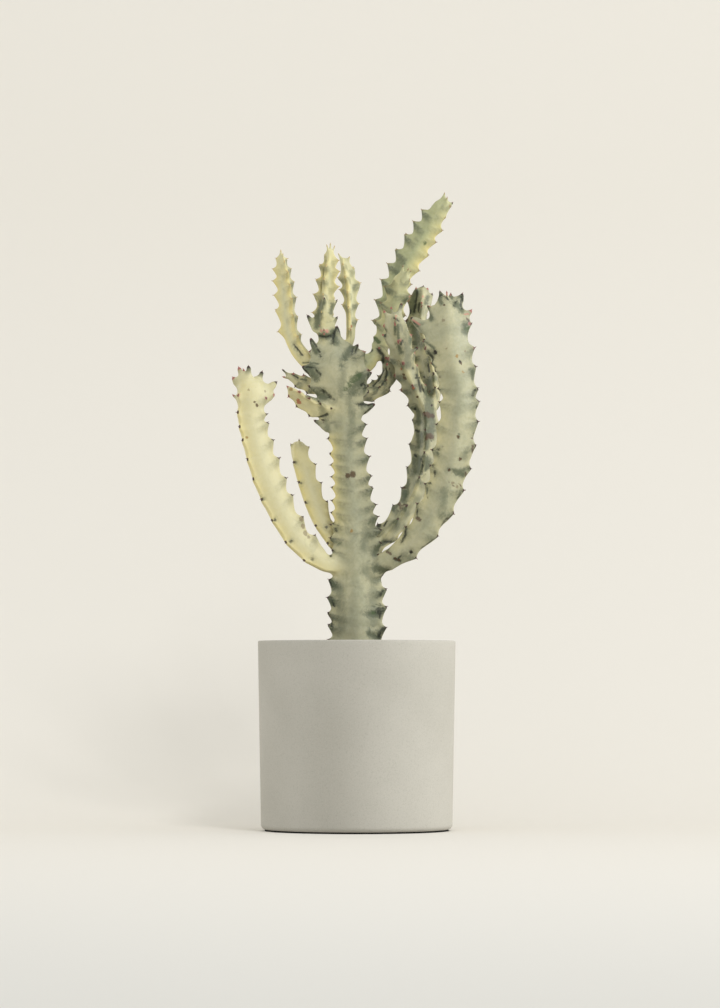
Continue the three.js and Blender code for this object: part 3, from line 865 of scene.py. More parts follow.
STEMS = (
    Stem("trunk",
         ((0, 0, 144, 20.5), (0, 0, 190, 21.5), (0, 0, 226, 20.5), (-2, 0, 259, 16.8), (-4.5, 0, 292, 13.6),
          (-7.5, 0, 322, 13), (-10.3, 0, 343, 14.8), (-12.5, 0, 359, 19.5), (-15.5, 0, 380, 24),
          (-18, 0, 394, 23), (-19.5, 0, 404, 17)),
         (Rib(10, (151, 169, 186, 201, 213, 228, 240, 251, 262, 272, 286, 296, 312, 327, 339, 355, 371, 384,
              400), warm=0.12),
          Rib(170, (159, 171, 181, 194, 209, 221, 233, 244, 255, 265, 275, 286, 295, 305, 314, 327, 342,
              358, 370, 387, 400), tooth=0.85, warm=0.2, fringe_mm=(248, 338)),
          Rib(232, warm=0.2),
          Rib(308, warm=0.2)),
         Look(green=0.95, blush_from_mm=372, blush_full_mm=415), pitch_mm=13.5, tooth_mm=4.6, hollow=0.64),
    Stem("arm_left_outer",
         ((-2, 0, 217, 8), (-16, -2, 219.5, 8.5), (-30, -6, 224, 9), (-48.5, -12, 240, 11),
          (-63, -19, 263, 12.2), (-74.8, -25, 290, 13.2), (-83.3, -29, 317, 12.8), (-89, -32, 343, 12),
          (-88.5, -33, 360, 13), (-87.5, -33, 373, 11.5)),
         (Rib(12, (231, 246, 261, 279, 293, 309, 324, 338, 345, 358), warm=0.15, green=1.0),
          Rib(132, (224, 239, 257, 274, 291, 307, 323, 334, 346, 360), tooth=0.5, warm=0.7, green=0.1),
          Rib(255, warm=0.5)),
         Look(cream=1.0, green=0.35, blush_from_mm=345, blush_full_mm=375), pitch_mm=16.5, tooth_mm=4.2,
         hollow=0.76),
    Stem("arm_left_inner",
         ((-4, 1, 222, 7), (-18.5, 6, 240, 7.5), (-30.5, 12, 259, 8.5), (-37.7, 17, 277, 9),
          (-43.2, 21, 294, 9), (-47.6, 24, 311, 8.7), (-50, 26, 324, 8)),
         (Rib(8, (239, 256, 275, 291, 307), tooth=1.1, warm=0.4),
          Rib(128, (239, 254, 274, 291, 308), tooth=0.5, warm=0.9),
          Rib(250)),
         Look(cream=1.0, green=0.1, blush_from_mm=340, blush_full_mm=370), pitch_mm=16, tooth_mm=3.2,
         hollow=0.76),
    Stem("arm_right_outer",
         ((3, 0, 212, 8), (24, -7, 223, 8.2), (48, -15, 241.5, 9.8), (60.5, -20, 259.5, 12),
          (69.5, -24, 276, 13.2), (77, -28, 300, 14), (81, -31, 320, 15), (84.2, -34, 345, 14.2),
          (84.8, -34, 361, 13.4), (81, -34, 381, 15.5), (75.5, -34, 405, 19), (75, -34, 422, 17.5),
          (75.5, -34, 438.5, 11.5)),
         (Rib(4, (226, 244, 263, 282, 300, 319, 339, 356, 366, 385, 400, 420), warm=0.1),
          Rib(176, (232, 253, 272, 288, 303, 316, 337, 355, 366, 380, 399), warm=0.4, green=0.8),
          Rib(270)),
         Look(green=0.6, blush_from_mm=385, blush_full_mm=440), pitch_mm=19, tooth_mm=3.4, hollow=0.62,
         tip_gain=1.5),
    Stem("arm_right_inner",
         ((3, 1, 229, 7), (18.5, 6, 241, 8.3), (34, 11, 256.5, 9), (45.5, 16, 273.5, 9.5),
          (53.5, 20, 291, 11.2), (58.5, 23, 311, 12.4), (60, 25, 331, 13), (58.8, 23, 350, 11),
          (50.5, 16, 368, 9.4), (42, 8, 386, 10), (37, 0, 405, 11), (33.5, -4, 421, 10.5),
          (32.5, -5, 429, 8.5)),
         (Rib(100, (260, 271, 295, 316, 335, 348, 371, 389, 406, 422), tooth=0.7, warm=0.3, green=0.9),
          Rib(178, (256, 272, 287, 304, 324, 344, 356, 368, 380, 394, 407, 421), warm=0.2, green=1.2),
          Rib(320)),
         Look(green=0.95, blush_from_mm=350, blush_full_mm=420), pitch_mm=16.5, tooth_mm=3.4),
    Stem("arm_right_inner_fork",
         ((56, 26, 334, 8), (60.5, 30, 353, 10), (63.5, 35, 370, 11.5), (61, 38, 391, 11.5),
          (55, 40, 412, 10), (53, 41, 430, 9), (53.5, 42, 447, 9), (54.5, 42, 456, 7.5)),
         (Rib(80),
          Rib(178),
          Rib(305)),
         Look(green=1.0, blush_from_mm=425, blush_full_mm=460), pitch_mm=15, tooth_mm=3),
    Stem("shoot_left",
         ((-22, 2, 381, 7), (-37, 5, 390, 7.5), (-46.5, 8, 399, 7), (-53, 11, 410, 6.5),
          (-57, 13, 425, 6.8), (-58.5, 14, 440, 6.8), (-60, 15, 455, 6.6), (-62, 15, 470, 5.6),
          (-63.5, 15, 482, 3.2)),
         (Rib(62, (413, 431, 445, 457, 468, 477), tooth=0.8, warm=0.9),
          Rib(182, (418, 436, 449, 461, 471, 480), warm=0.9, green=0.3),
          Rib(320, (416, 431, 448, 461, 472, 480), warm=0.1, green=2.2)),
         Look(cream=1.0, young=0.12, green=0.35, pale_tips=0.95), pitch_mm=10.8, tooth_mm=4.2, hollow=0.6),
    Stem("shoot_middle",
         ((-24, -1, 400, 6.5), (-27, -4, 416, 6.4), (-27.5, -7, 429, 6.4), (-26, -10, 444, 6.4),
          (-24, -13, 461, 6), (-22.5, -14, 474, 5), (-21.8, -15, 483, 3.4)),
         (Rib(8, (430, 443, 453, 466, 475), warm=0.8, green=0.4),
          Rib(112, (432, 446, 459, 470), tooth=0.6, warm=0.7),
          Rib(172, (432, 447, 459, 471, 480), warm=0.9),
          Rib(285)),
         Look(cream=1.0, young=0.38, green=0.65, pale_tips=0.85), pitch_mm=11.5, tooth_mm=4.4, hollow=0.58),
    Stem("shoot_centre_right",
         ((-9, 2, 399, 4.8), (-5.5, 4, 412, 3.8), (-5.2, 6, 426, 3.8), (-5.6, 8, 441, 4.8),
          (-6, 9, 455, 6.2), (-8.5, 10, 467, 5.6), (-12, 10, 480, 3.2)),
         (Rib(2, (427, 441, 459, 472), warm=0.2, green=1.4),
          Rib(108, (419, 437, 450, 463, 474), tooth=0.5, warm=1.0),
          Rib(205, (440, 453, 463), warm=0.9)),
         Look(cream=1.0, young=0.38, green=0.55, pale_tips=0.9), pitch_mm=12, tooth_mm=3.8, hollow=0.6),
    Stem("shoot_tall",
         ((-9, 2, 376, 7), (7, 8, 388, 6.2), (17.5, 15, 400.5, 5.5), (22.8, 22, 414, 5.6),
          (25.5, 30, 430, 6.7), (30, 38, 450, 8.2), (38, 42, 470, 9), (47, 43, 486, 9.5),
          (55, 43, 499, 9.4), (63, 43, 512, 8.6), (70.5, 43, 525, 7), (75, 43, 533, 5)),
         (Rib(8, (404, 424, 442, 460, 472, 485, 496, 506, 516, 526), tooth=0.7, warm=1.0, green=0.5),
          Rib(174, (400, 415, 429, 447, 465, 479, 491, 504, 515, 525), tooth=1.2, warm=0.1, green=1.2),
          Rib(275)),
         Look(young=0.8, green=0.75, pale_tips=0.45), pitch_mm=12.5, tooth_mm=5.0, hollow=0.58),
    Stem("shoot_tall_fork",
         ((19, 21, 411, 5.5), (27, 22, 427, 7), (32.5, 21, 442, 8), (36, 20, 457, 7.4), (39.5, 19, 468, 5)),
         (Rib(8, (432, 449, 461)),
          Rib(174, (428, 443, 457), tooth=1.2),
          Rib(275)),
         Look(young=0.6, green=0.9, pale_tips=0.3), pitch_mm=12.5, tooth_mm=4.4, hollow=0.58),
    Stem("shoot_curled",
         ((-8, 2, 366, 7), (5, 6, 365.5, 7.6), (17, 10, 369, 7.8), (25.5, 13, 378, 7), (27, 15, 390, 5.6),
          (21.5, 16, 401, 3.6)),
         (Rib(90, green=1.5),
          Rib(205, green=1.5),
          Rib(325, green=1.5)),
         Look(green=1.0, blush_from_mm=385, blush_full_mm=405), pitch_mm=11, tooth_mm=2.6),
    Stem("stub_left_upper",
         ((-22, 2, 367, 6.2), (-34, 6, 371, 6.6), (-44, 10, 374, 5.6), (-53, 14, 378.5, 4.2),
          (-58.5, 16, 382, 3)),
         (Rib(20),
          Rib(165),
          Rib(280)),
         Look(cream=0.6, green=0.8, blush_from_mm=376, blush_full_mm=384), pitch_mm=11, tooth_mm=2.2),
    Stem("stub_left_lower",
         ((-20, -3, 347.5, 7), (-31, -6, 351, 7.5), (-41, -10, 356, 6.8), (-50, -14, 362.5, 5.8),
          (-55.5, -16.5, 367.5, 4)),
         (Rib(60),
          Rib(180),
          Rib(300)),
         Look(cream=0.9, green=0.15, blush_from_mm=356, blush_full_mm=369), pitch_mm=11, tooth_mm=2),
)

PLAIN, DARK, PINK, YOUNG = Tone

# Pointed outgrowths of each stem, in millimetres: x, y and z of the root inside the stem, the same of
# the tip, half the root's width, and the tone.
BUDS = {
    "trunk": (
        (-24, -2, 386, -38.5, -8, 410, 10, DARK), (-23, -3, 396, -26.5, -7, 419, 7, DARK),
        (-26, -6, 408, -31, -9, 420.5, 3.5, PINK), (-25, -6, 408, -27.5, -12, 418, 4, PINK),
        (-17.5, -1, 396, -16.5, -5, 421, 8.5, DARK), (-12, -2, 386, 1, -7, 405, 9.5, DARK),
        (-24, -2, 374, -45.5, -5, 387, 8.5, DARK), (-9, -2, 366, 12.5, -7, 382, 9, DARK),
        (-6, -1, 346, 15, -4, 355.5, 8, DARK), (-17, -1, 334, -35.5, -4, 342, 7, DARK),
        (-22, -3, 352, -42.5, -9, 363, 5, DARK),
    ),
    "arm_left_outer": (
        (-86, -32, 355, -66.5, -30, 372, 10.5, PLAIN), (-86, -32, 353, -68, -30, 362, 10, PINK),
        (-91, -34, 362, -102.5, -36, 375.5, 8, PINK), (-90, -34, 364, -97.5, -36, 383.5, 7.5, PINK),
        (-89, -30, 366, -94, -28, 382.5, 4, PINK), (-88, -34, 364, -89.5, -38, 384.5, 7.5, DARK),
        (-84, -32, 364, -78.5, -30, 380.5, 8.5, DARK), (-92, -34, 352, -102.5, -36, 361, 5, PINK),
    ),
    "arm_left_inner": (
        (-51, 24, 313, -55.5, 23, 324, 5, PLAIN), (-48, 23, 314, -48.5, 20, 328, 5, PLAIN),
        (-46, 25, 312, -40, 26, 322, 5, PLAIN),
    ),
    "arm_right_outer": (
        (70, -34, 408, 45, -34, 425, 11, PLAIN), (71, -34, 415, 58.5, -34, 435.5, 8, DARK),
        (75, -34, 420, 69, -34, 447, 10.5, DARK), (76, -35, 430, 74.5, -39, 446.5, 4, PINK),
        (77, -33, 424, 78, -32, 446, 8, DARK), (79, -34, 420, 87.5, -34, 445, 10.5, DARK),
        (78, -34, 412, 95, -35, 431.5, 11, PINK), (79, -34, 400, 96, -34, 421, 10, DARK),
        (72, -35, 394, 54.5, -35, 405.5, 6, DARK), (76, -35, 374, 61, -35, 388, 6, DARK),
    ),
    "arm_right_inner": (
        (31, -5, 418, 22.8, -5, 433.5, 5.5, PINK), (32, -3, 422, 28.8, -1, 437, 4, PINK),
        (32.5, -6, 414, 32.5, -16, 427, 5, PINK), (33.5, -4, 420, 37.5, -1, 440, 5.5, DARK),
        (36, -2, 396, 36.5, -14, 408, 5, PINK), (38, -1, 394, 51, 1, 403.5, 5.5, DARK),
        (33, -3, 402, 21, -5, 414.5, 5.5, PINK),
    ),
    "arm_right_inner_fork": (
        (53, 41, 440, 50, 37, 458, 7, PINK), (54, 42, 440, 56.5, 42, 460, 7.5, DARK),
        (55, 42, 438, 60.5, 41, 458, 7, PINK), (56, 42, 438, 64, 43, 453, 7, PLAIN),
        (54, 38, 432, 55, 30, 445, 5, PINK),
    ),
    "shoot_middle": (
        (-28, -6, 414, -41, -6, 429.5, 7, DARK), (-26.5, -8, 426, -27.5, -17, 444, 5, DARK),
        (-26, -6, 414, -16, -6, 429, 6, DARK), (-25.5, -8, 428, -16, -8, 443, 5.5, DARK),
        (-22, -15, 478, -25, -18, 487.5, 2.4, YOUNG), (-21.8, -15, 478, -22, -15, 489, 2.4, YOUNG),
        (-21.5, -14, 478, -18.5, -12, 487, 2.4, YOUNG),
    ),
    "shoot_left": (
        (-63, 15, 476, -64, 15, 487, 2.8, YOUNG), (-62.5, 14, 474, -62, 11, 484, 2.2, YOUNG),
    ),
    "shoot_centre_right": (
        (-11, 10, 474, -15.5, 10, 483.5, 2.8, YOUNG), (-9.5, 10, 468, -6, 9, 481, 3.6, YOUNG),
    ),
    "shoot_tall": (
        (74, 43, 524, 74.5, 43, 539, 3.6, YOUNG), (74, 42, 524, 77, 40, 535, 3, YOUNG),
        (72, 43, 518, 82, 43, 531, 4.5, DARK),
    ),
    "shoot_tall_fork": (
        (37.5, 19, 461, 39, 17, 474, 3.4, YOUNG), (38, 18, 460, 43.5, 15, 471, 3.2, YOUNG),
        (37, 19, 456, 46, 20, 470, 4, PLAIN),
    ),
    "stub_left_upper": (
        (-54, 14, 378, -62.5, 14, 386, 3.4, DARK), (-52, 13, 377, -62, 10, 379.5, 3, PINK),
    ),
    "stub_left_lower": (
        (-50, -14, 361, -58.5, -17, 370, 4, PINK),
    ),
    "shoot_curled": (
        (24.5, 15, 390, 18.5, 13, 405, 4.5, PINK), (25.5, 12, 380, 25.5, 2, 390, 4, PINK),
    ),
}

PLANT_NODES = tuple(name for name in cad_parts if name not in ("pot", "soil"))


class Route:
    """A smooth curve through given points, read by its length."""

    SAMPLES_PER_SPAN = 60
    SHORTEST_STEP = 1e-4

    def __init__(self, points: Array) -> None:
        """Samples the curve.

        Args:
            points: The points it passes, one a row.
        """
        before, after = 2 * points[0] - points[1], 2 * points[-1] - points[-2]
        knots = np.vstack([before, points, after])
        spans = [self.span(knots[i:i + 4]) for i in range(len(points) - 1)]
        self.fine = np.vstack(spans + [points[-1:]])

    def span(self, four: Array) -> Array:
        """One span between the middle two of four points.

        Args:
            four: The four points.

        Returns:
            Points along the span.
        """
        a, b, c = np.maximum(np.sqrt(np.linalg.norm(np.diff(four, axis=0), axis=1)), self.SHORTEST_STEP)
        p0, p1, p2, p3 = four
        start = ((p1 - p0) / a - (p2 - p0) / (a + b) + (p2 - p1) / b) * b
        end = ((p2 - p1) / b - (p3 - p1) / (b + c) + (p3 - p2) / c) * b
        t = np.linspace(0, 1, self.SAMPLES_PER_SPAN, endpoint=False)[:, None]
        return ((2 * t**3 - 3 * t**2 + 1) * p1 + (t**3 - 2 * t**2 + t) * start
                + (3 * t**2 - 2 * t**3) * p2 + (t**3 - t**2) * end)


@dataclass(frozen=True)
class Spot:
    """Where a pair of spines stands: place and two directions, with its pinkness, size and paleness."""

    place: Array
    outwards: Array
    upwards: Array
    pink: float
    size: float
    pale: float


@dataclass(frozen=True)
class Edge:
    """One rib's edge: direction in the section, reach and thickness at each ring, and its eyes."""

    rib: Rib
    out: Array
    tip: Array
    thick: Array
    eyes: Array
    near: Array


@dataclass
class Sweep:
    """The fine skin of one stem, swept ring by ring along its axis, and where its spines stand."""

    RING_STEP_MM = 1.25
    FEWEST_RINGS = 8
    HALF_FACE_POINTS = 7
    RIB_EDGE_MM = 1.5
    TOOTH_EDGE_MM = 0.55
    TOOTH_PINCH_MM = 1.8
    FULL_TEETH_REACH_MM = 6
    SMALLEST_TEETH = 0.25
    RIPPLES = ((0.11, 0.5), (0.27, 0.3), (0.61, 0.2))
    RIPPLE_HEIGHT = 0.02
    FIRST_EYE, EYE_STAGGER, EYE_JITTER = 0.35, 0.33, 0.12
    LAST_EYE_MM = 1.5
    SEEDS_PER_STEM = 17
    SHELF_END, SHELF_POWER = 0.34, 2.4
    RISE_START, RISE_POWER = 0.3, 1.45
    TOOTH_PER_GAP = 0.5
    TIP_ZONE_MM = 50
    EDGE_DROP, SHOULDER_DROP, SHOULDER_WIDTH, VALLEY_WIDTH = 0.35, 0.62, 1.35, 0.34
    FACE_CROWDING = 1.1
    FAR_MM, VALLEY_DISTANCE = 50, 1.2
    STREAK_SLOPE = 0.28
    PATCH_DROP_MM, PATCH_MM, PATCH_SPREAD, PATCH_DEPTH_MM = 3.2, 3.3, 0.05, 9.0
    LINE_DROP_MM, LINE_MM, LINE_DEPTH_MM = 0.6, 1.1, 10.0
    HORN_LENGTH_MM, HORN_DEPTH_MM = 1.6, 1.7
    WARM_POWER, FRINGE_POWER, FRINGE_FADE_MM = 1.2, 2.2, 6
    CAPS = ((0.14, 0.16), (0.42, 0.3), (0.74, 0.38))
    CAP_TOP, CAP_FADE = 0.4, 0.25

    stem: Stem
    seed: int
    spots: list = field(default_factory=list)
    columns: list = field(default_factory=list)
    notes: dict = field(default_factory=dict)

    def __post_init__(self) -> None:
        """Lays evenly spaced rings along the stem."""
        stations = np.array(self.stem.stations, dtype=float)
        path, reach = Route(stations[:, :3]).fine, Route(stations[:, 3:4]).fine[:, 0]
        lengths = np.concatenate([[0], np.cumsum(np.linalg.norm(np.diff(path, axis=0), axis=1))])
        count = max(self.FEWEST_RINGS, round(lengths[-1] / self.RING_STEP_MM))
        self.along = np.linspace(0, lengths[-1], count + 1)
        self.centre = np.stack([np.interp(self.along, lengths, path[:, k]) for k in range(3)], 1)
        tangent, kernel = np.gradient(self.centre, axis=0), np.ones(5) / 5
        tangent = np.stack([np.convolve(np.pad(tangent[:, k], 2, "edge"), kernel, "valid") for k in range(3)], 1)
        self.tangent = tangent / np.linalg.norm(tangent, axis=1)[:, None]
        side = np.cross(self.tangent, [0, -1, 0])
        self.side = side / np.linalg.norm(side, axis=1)[:, None]
        self.front = np.cross(self.side, self.tangent)
        self.reach = np.interp(self.along, lengths, reach)

    def eye_lengths(self, rib: Rib, index: int, edge_mm: Array) -> Array:
        """Where a rib's eyes lie along the stem.

        Args:
            rib: The rib.
            index: Its number.
            edge_mm: Height of the rib's edge at each ring.

        Returns:
            The eyes' lengths along the stem.
        """
        if rib.eyes_mm:
            return np.interp(rib.eyes_mm, np.maximum.accumulate(edge_mm), self.along)
        rng = np.random.default_rng(self.seed * self.SEEDS_PER_STEM + index)
        pitch = self.stem.pitch_mm
        start = pitch * (self.FIRST_EYE + self.EYE_STAGGER * index)
        eyes = np.arange(start, self.along[-1] - self.LAST_EYE_MM, pitch)
        return eyes + rng.uniform(-self.EYE_JITTER, self.EYE_JITTER, len(eyes)) * pitch

    def scallops(self, eyes: Array, height: Array) -> Array:
        """How far the rib's edge stands out beyond its reach, cusped at each eye.

        Args:
            eyes: The eyes' lengths along the stem.
            height: Tooth height at each ring.

        Returns:
            The edge's rise at each ring.
        """
        pitch = self.stem.pitch_mm
        knots = np.concatenate([[eyes[0] - pitch], eyes, [eyes[-1] + pitch]])
        slot = np.clip(np.searchsorted(knots, self.along, "right") - 1, 0, len(knots) - 2)
        gap = knots[slot + 1] - knots[slot]
        share = np.clip((self.along - knots[slot]) / gap, 0, 1)
        shelf = np.clip((self.SHELF_END - share) / self.SHELF_END, 0, 1) ** self.SHELF_POWER * (slot > 0)
        rise = np.clip((share - self.RISE_START) / (1 - self.RISE_START), 0, 1) ** self.RISE_POWER
        return np.maximum(shelf, rise * (slot < len(knots) - 2)) * np.minimum(height, gap * self.TOOTH_PER_GAP)

    def build(self) -> tuple[Array, list, dict]:
        """Sweeps the ribbed section along the stem.

        Returns:
            Corner positions in metres, faces, and a value for each corner under each attribute name.
        """
        rng = np.random.default_rng(self.seed)
        smallness = np.clip(self.reach / self.FULL_TEETH_REACH_MM, self.SMALLEST_TEETH, 1)
        waves = sum(np.sin(self.along * f + rng.uniform(0, WAVE_PHASES)) * a for f, a in self.RIPPLES)
        self.reach = self.reach * (1 + self.RIPPLE_HEIGHT * waves)
        edges = [self.edge(rib, index, smallness) for index, rib in enumerate(self.stem.ribs)]
        for here, there in zip(edges, edges[1:] + edges[:1]):
            self.face(here, there)
        flat = np.stack(self.columns, 1)
        points = (self.centre[:, None, :] + flat[..., :1] * self.side[:, None, :]
                  + flat[..., 1:2] * self.front[:, None, :])
        return self.close(points * MM)

    def edge(self, rib: Rib, index: int, smallness: Array) -> Edge:
        """Shapes one rib's edge and notes where its spines stand.

        Args:
            rib: The rib.
            index: Its number.
            smallness: Share of the full tooth height at each ring.

        Returns:
            The edge.
        """
        stem, along, turn = self.stem, self.along, math.radians(rib.angle)
        out = np.array([math.cos(turn), math.sin(turn)])
        near_tip = np.clip(1 - (along[-1] - along) / self.TIP_ZONE_MM, 0, 1)
        heights = stem.tooth_mm * rib.tooth * smallness * (1 + (stem.tip_gain - 1) * near_tip)
        upwards = self.side[:, 2] * out[0] + self.front[:, 2] * out[1]
        eyes = self.eye_lengths(rib, index, self.centre[:, 2] + upwards * (self.reach + heights))
        tip = self.reach + self.scallops(eyes, heights)
        near = np.min(np.abs(along[:, None] - eyes[None, :]), axis=1)
        pinch = np.exp(-((near / self.TOOTH_PINCH_MM) ** 2))
        thick = (self.RIB_EDGE_MM + (self.TOOTH_EDGE_MM - self.RIB_EDGE_MM) * pinch) * smallness
        for eye in eyes:
            ring = int(np.argmin(np.abs(along - eye)))
            outwards = self.side[ring] * out[0] + self.front[ring] * out[1]
            self.spots.append(Spot((self.centre[ring] + outwards * tip[ring]) * MM, outwards, self.tangent[ring],
                                   float(stem.look.blush_at(self.centre[ring][2])), 1.0, stem.look.pale_tips))
        return Edge(rib, out, tip, thick, eyes, near)

    def face(self, here: Edge, there: Edge) -> None:
        """Adds the columns of points from one rib's edge across the face to the next rib.

        Args:
            here: This rib's edge.
            there: The next rib's edge.
        """
        turn, next_turn = here.rib.angle, there.rib.angle
        next_turn += 360 * (next_turn < turn)
        middle = (math.radians(turn) + math.radians(next_turn)) / 2
        out = np.array([math.cos(middle), math.sin(middle)])
        valley = self.reach[:, None] * self.stem.hollow * out
        self.note(here, here.tip[:, None] * here.out, 1.0, 0.0)
        down, up = (self.half_face(edge, sign, valley, np.array([-out[1], out[0]]))
                    for sign, edge in ((1, here), (-1, there)))
        far = replace(here, near=here.near + self.FAR_MM)
        for column in down + [(far, valley, 0.0, self.reach * self.VALLEY_DISTANCE)] + up[::-1]:
            self.note(*column)

    def half_face(self, edge: Edge, sign: int, valley: Array, across: Array) -> list:
        """Columns from one rib's edge down to the valley beside it.

        Args:
            edge: The rib's edge.
            sign: 1 where the valley follows the rib, -1 where it comes before.
            valley: The valley's flat point at each ring.
            across: Direction across the valley.

        Returns:
            Edge, flat points, closeness to the edge and distance from it, for each column.
        """
        reach, thick = self.reach[:, None], edge.thick[:, None]
        sideways = np.array([-edge.out[1], edge.out[0]]) * sign
        start = (edge.tip - self.EDGE_DROP * edge.thick)[:, None] * edge.out + thick * sideways
        depth = (self.reach * (1 - self.stem.hollow))[:, None]
        first = (reach - self.SHOULDER_DROP * depth) * edge.out + self.SHOULDER_WIDTH * thick * sideways
        second = valley - sign * across * reach * self.VALLEY_WIDTH
        columns = []
        for step in range(self.HALF_FACE_POINTS):
            t = (step / self.HALF_FACE_POINTS) ** self.FACE_CROWDING
            point = ((1 - t) ** 3 * start + 3 * (1 - t) ** 2 * t * first
                     + 3 * (1 - t) * t**2 * second + t**3 * valley)
            columns.append((edge, point, 1 - t, np.linalg.norm(point - start, axis=1)))
        return columns

    def note(self, edge: Edge, points: Array, closeness: float, inwards: object) -> None:
        """Adds one column of flat points with its attribute values.

        Args:
            edge: The edge of the rib that this column belongs to.
            points: The flat point at each ring.
            closeness: 1 on the rib's edge, 0 in the hollow.
            inwards: Distance from the rib's edge.
        """
        self.columns.append(points)
        rib, height, nothing = edge.rib, self.centre[:, 2], np.zeros_like(self.along)
        inwards = nothing + inwards
        below = self.along[:, None] - (edge.eyes[None, :] - self.STREAK_SLOPE * inwards[:, None])
        patch_mm = self.PATCH_MM + self.PATCH_SPREAD * inwards[:, None]
        patch = np.exp(-(((below + self.PATCH_DROP_MM) / patch_mm) ** 2)).max(1)
        line = np.exp(-(((below + self.LINE_DROP_MM) / self.LINE_MM) ** 2)).max(1)
        horn = np.exp(-((edge.near / self.HORN_LENGTH_MM) ** 2) - (inwards / self.HORN_DEPTH_MM) ** 2)
        low, high = rib.fringe_mm
        inside = (np.clip((height - low) / self.FRINGE_FADE_MM, 0, 1)
                  * np.clip((high - height) / self.FRINGE_FADE_MM, 0, 1))
        for key, value in (("tooth", horn), ("green", rib.green * self.stem.look.green),
                           ("streak", patch * np.exp(-((inwards / self.PATCH_DEPTH_MM) ** 2))),
                           ("line", line * np.exp(-((inwards / self.LINE_DEPTH_MM) ** 2))),
                           ("warm", rib.warm * closeness**self.WARM_POWER),
                           ("fringe", inside * closeness**self.FRINGE_POWER)):
            self.notes.setdefault(key, []).append(nothing + value)

    def close(self, points: Array) -> tuple[Array, list, dict]:
        """Closes both ends of the sweep and lists its faces.

        Args:
            points: Points by ring and column, in metres.

        Returns:
            Corner positions, faces and attribute values.
        """
        tip, middle = self.tangent[-1] * self.reach[-1] * MM, self.centre[-1] * MM
        caps = [(points[-1] + (middle - points[-1]) * shrink + tip * rise)[None] for shrink, rise in self.CAPS]
        body = np.concatenate([points] + caps)
        corners = np.concatenate([body.reshape(-1, 3), self.centre[:1] * MM,
                                  self.centre[-1:] * MM + tip * self.CAP_TOP])
        values = {}
        for key, columns in self.notes.items():
            value = np.stack(columns, 1)
            ends = [value[-1:] * (1 - self.CAP_FADE * (k + 1)) for k in range(len(caps))]
            values[key] = np.concatenate([np.concatenate([value] + ends).ravel(), [0, 0]])
        look, full = self.stem.look, np.ones(len(corners))
        values.update(cream=look.cream * full, young=look.young * full, dark=0 * full,
                      tan=look.pale_tips * full, blush=look.blush_at(corners[:, 2] / MM))
        return corners, tube_faces(*body.shape[:2]), values


@dataclass(frozen=True)
class Bud:
    """A pointed outgrowth, in millimetres: its root inside the stem, its tip, half its root's width."""

    root: Array
    tip: Array
    half_width: float
    tone: Tone

    UPWARDS = (0.0, -0.4, 0.9)
    SPINE_PINK, SPINE_SIZE = 0.3, 0.8

    @property
    def axis(self) -> Array:
        """The direction from root to tip."""
        return (self.tip - self.root) / np.linalg.norm(self.tip - self.root)

    def spot(self, look: Look) -> Spot:
        """Where the spines of the bud stand."""
        _, pink, dark = self.tone.value
        return Spot(self.tip * MM, self.axis, np.array(self.UPWARDS), pink + self.SPINE_PINK, self.SPINE_SIZE,
                    look.pale_tips * (1 - dark))


@dataclass(frozen=True)
class BudShape:
    """Shapes a bud: a slightly flattened cone with hollow flanks and a small rounded point."""

    sides: int = 18
    steps: int = 16
    flatness: float = 0.62
    point_mm: float = 0.9
    point_share: float = 0.16
    point_rise: float = 0.6
    hollowness: float = 0.78
    cap_mm: float = 1.8
    cap_strength: float = 1.4
    stain_mm: float = 8.0
    warmth: float = 0.3
    dark_power: float = 1.3

    def build(self, bud: Bud, look: Look) -> tuple[Array, list, dict]:
        """Makes the bud's mesh data.

        Args:
            bud: The bud.
            look: The look of the stem that it grows on.

        Returns:
            Corner positions in metres, faces, and attribute values.
        """
        root, tip, axis = bud.root, bud.tip, bud.axis
        wide = np.cross(axis, [0, -1, 0])
        wide /= np.linalg.norm(wide)
        deep = np.cross(wide, axis)
        share = np.linspace(0, 1, self.steps + 1)
        point = min(self.point_mm, bud.half_width * self.point_share)
        radius = (bud.half_width - point) * (1 - share) ** self.hollowness + point
        turn = np.linspace(0, 2 * math.pi, self.sides, endpoint=False)
        across = radius[:, None] * np.cos(turn)
        depth = radius[:, None] * np.sin(turn) * self.flatness
        middle = root + share[:, None] * (tip - root)
        rings = middle[:, None] + across[..., None] * wide + depth[..., None] * deep
        top = tip + axis * point * self.point_rise
        corners = np.concatenate([rings.reshape(-1, 3), root[None], top[None]]) * MM
        to_tip = np.concatenate([np.repeat(1 - share, self.sides), [1, 0]]) * np.linalg.norm(tip - root)
        near = np.clip(1 - to_tip / self.stain_mm, 0, 1)
        full = np.ones_like(near)
        green, pink, dark = bud.tone.value
        values = {"tooth": np.clip(self.cap_strength - to_tip / self.cap_mm, 0, 1), "streak": near * green,
                  "line": 0 * full, "warm": self.warmth * near * (1 - dark), "green": green * full,
                  "fringe": 0 * full, "cream": look.cream * full, "young": look.young * full,
                  "blush": pink * near, "dark": dark * near ** self.dark_power,
                  "tan": look.pale_tips * (1 - dark) * full}
        return corners, tube_faces(len(share), self.sides), values


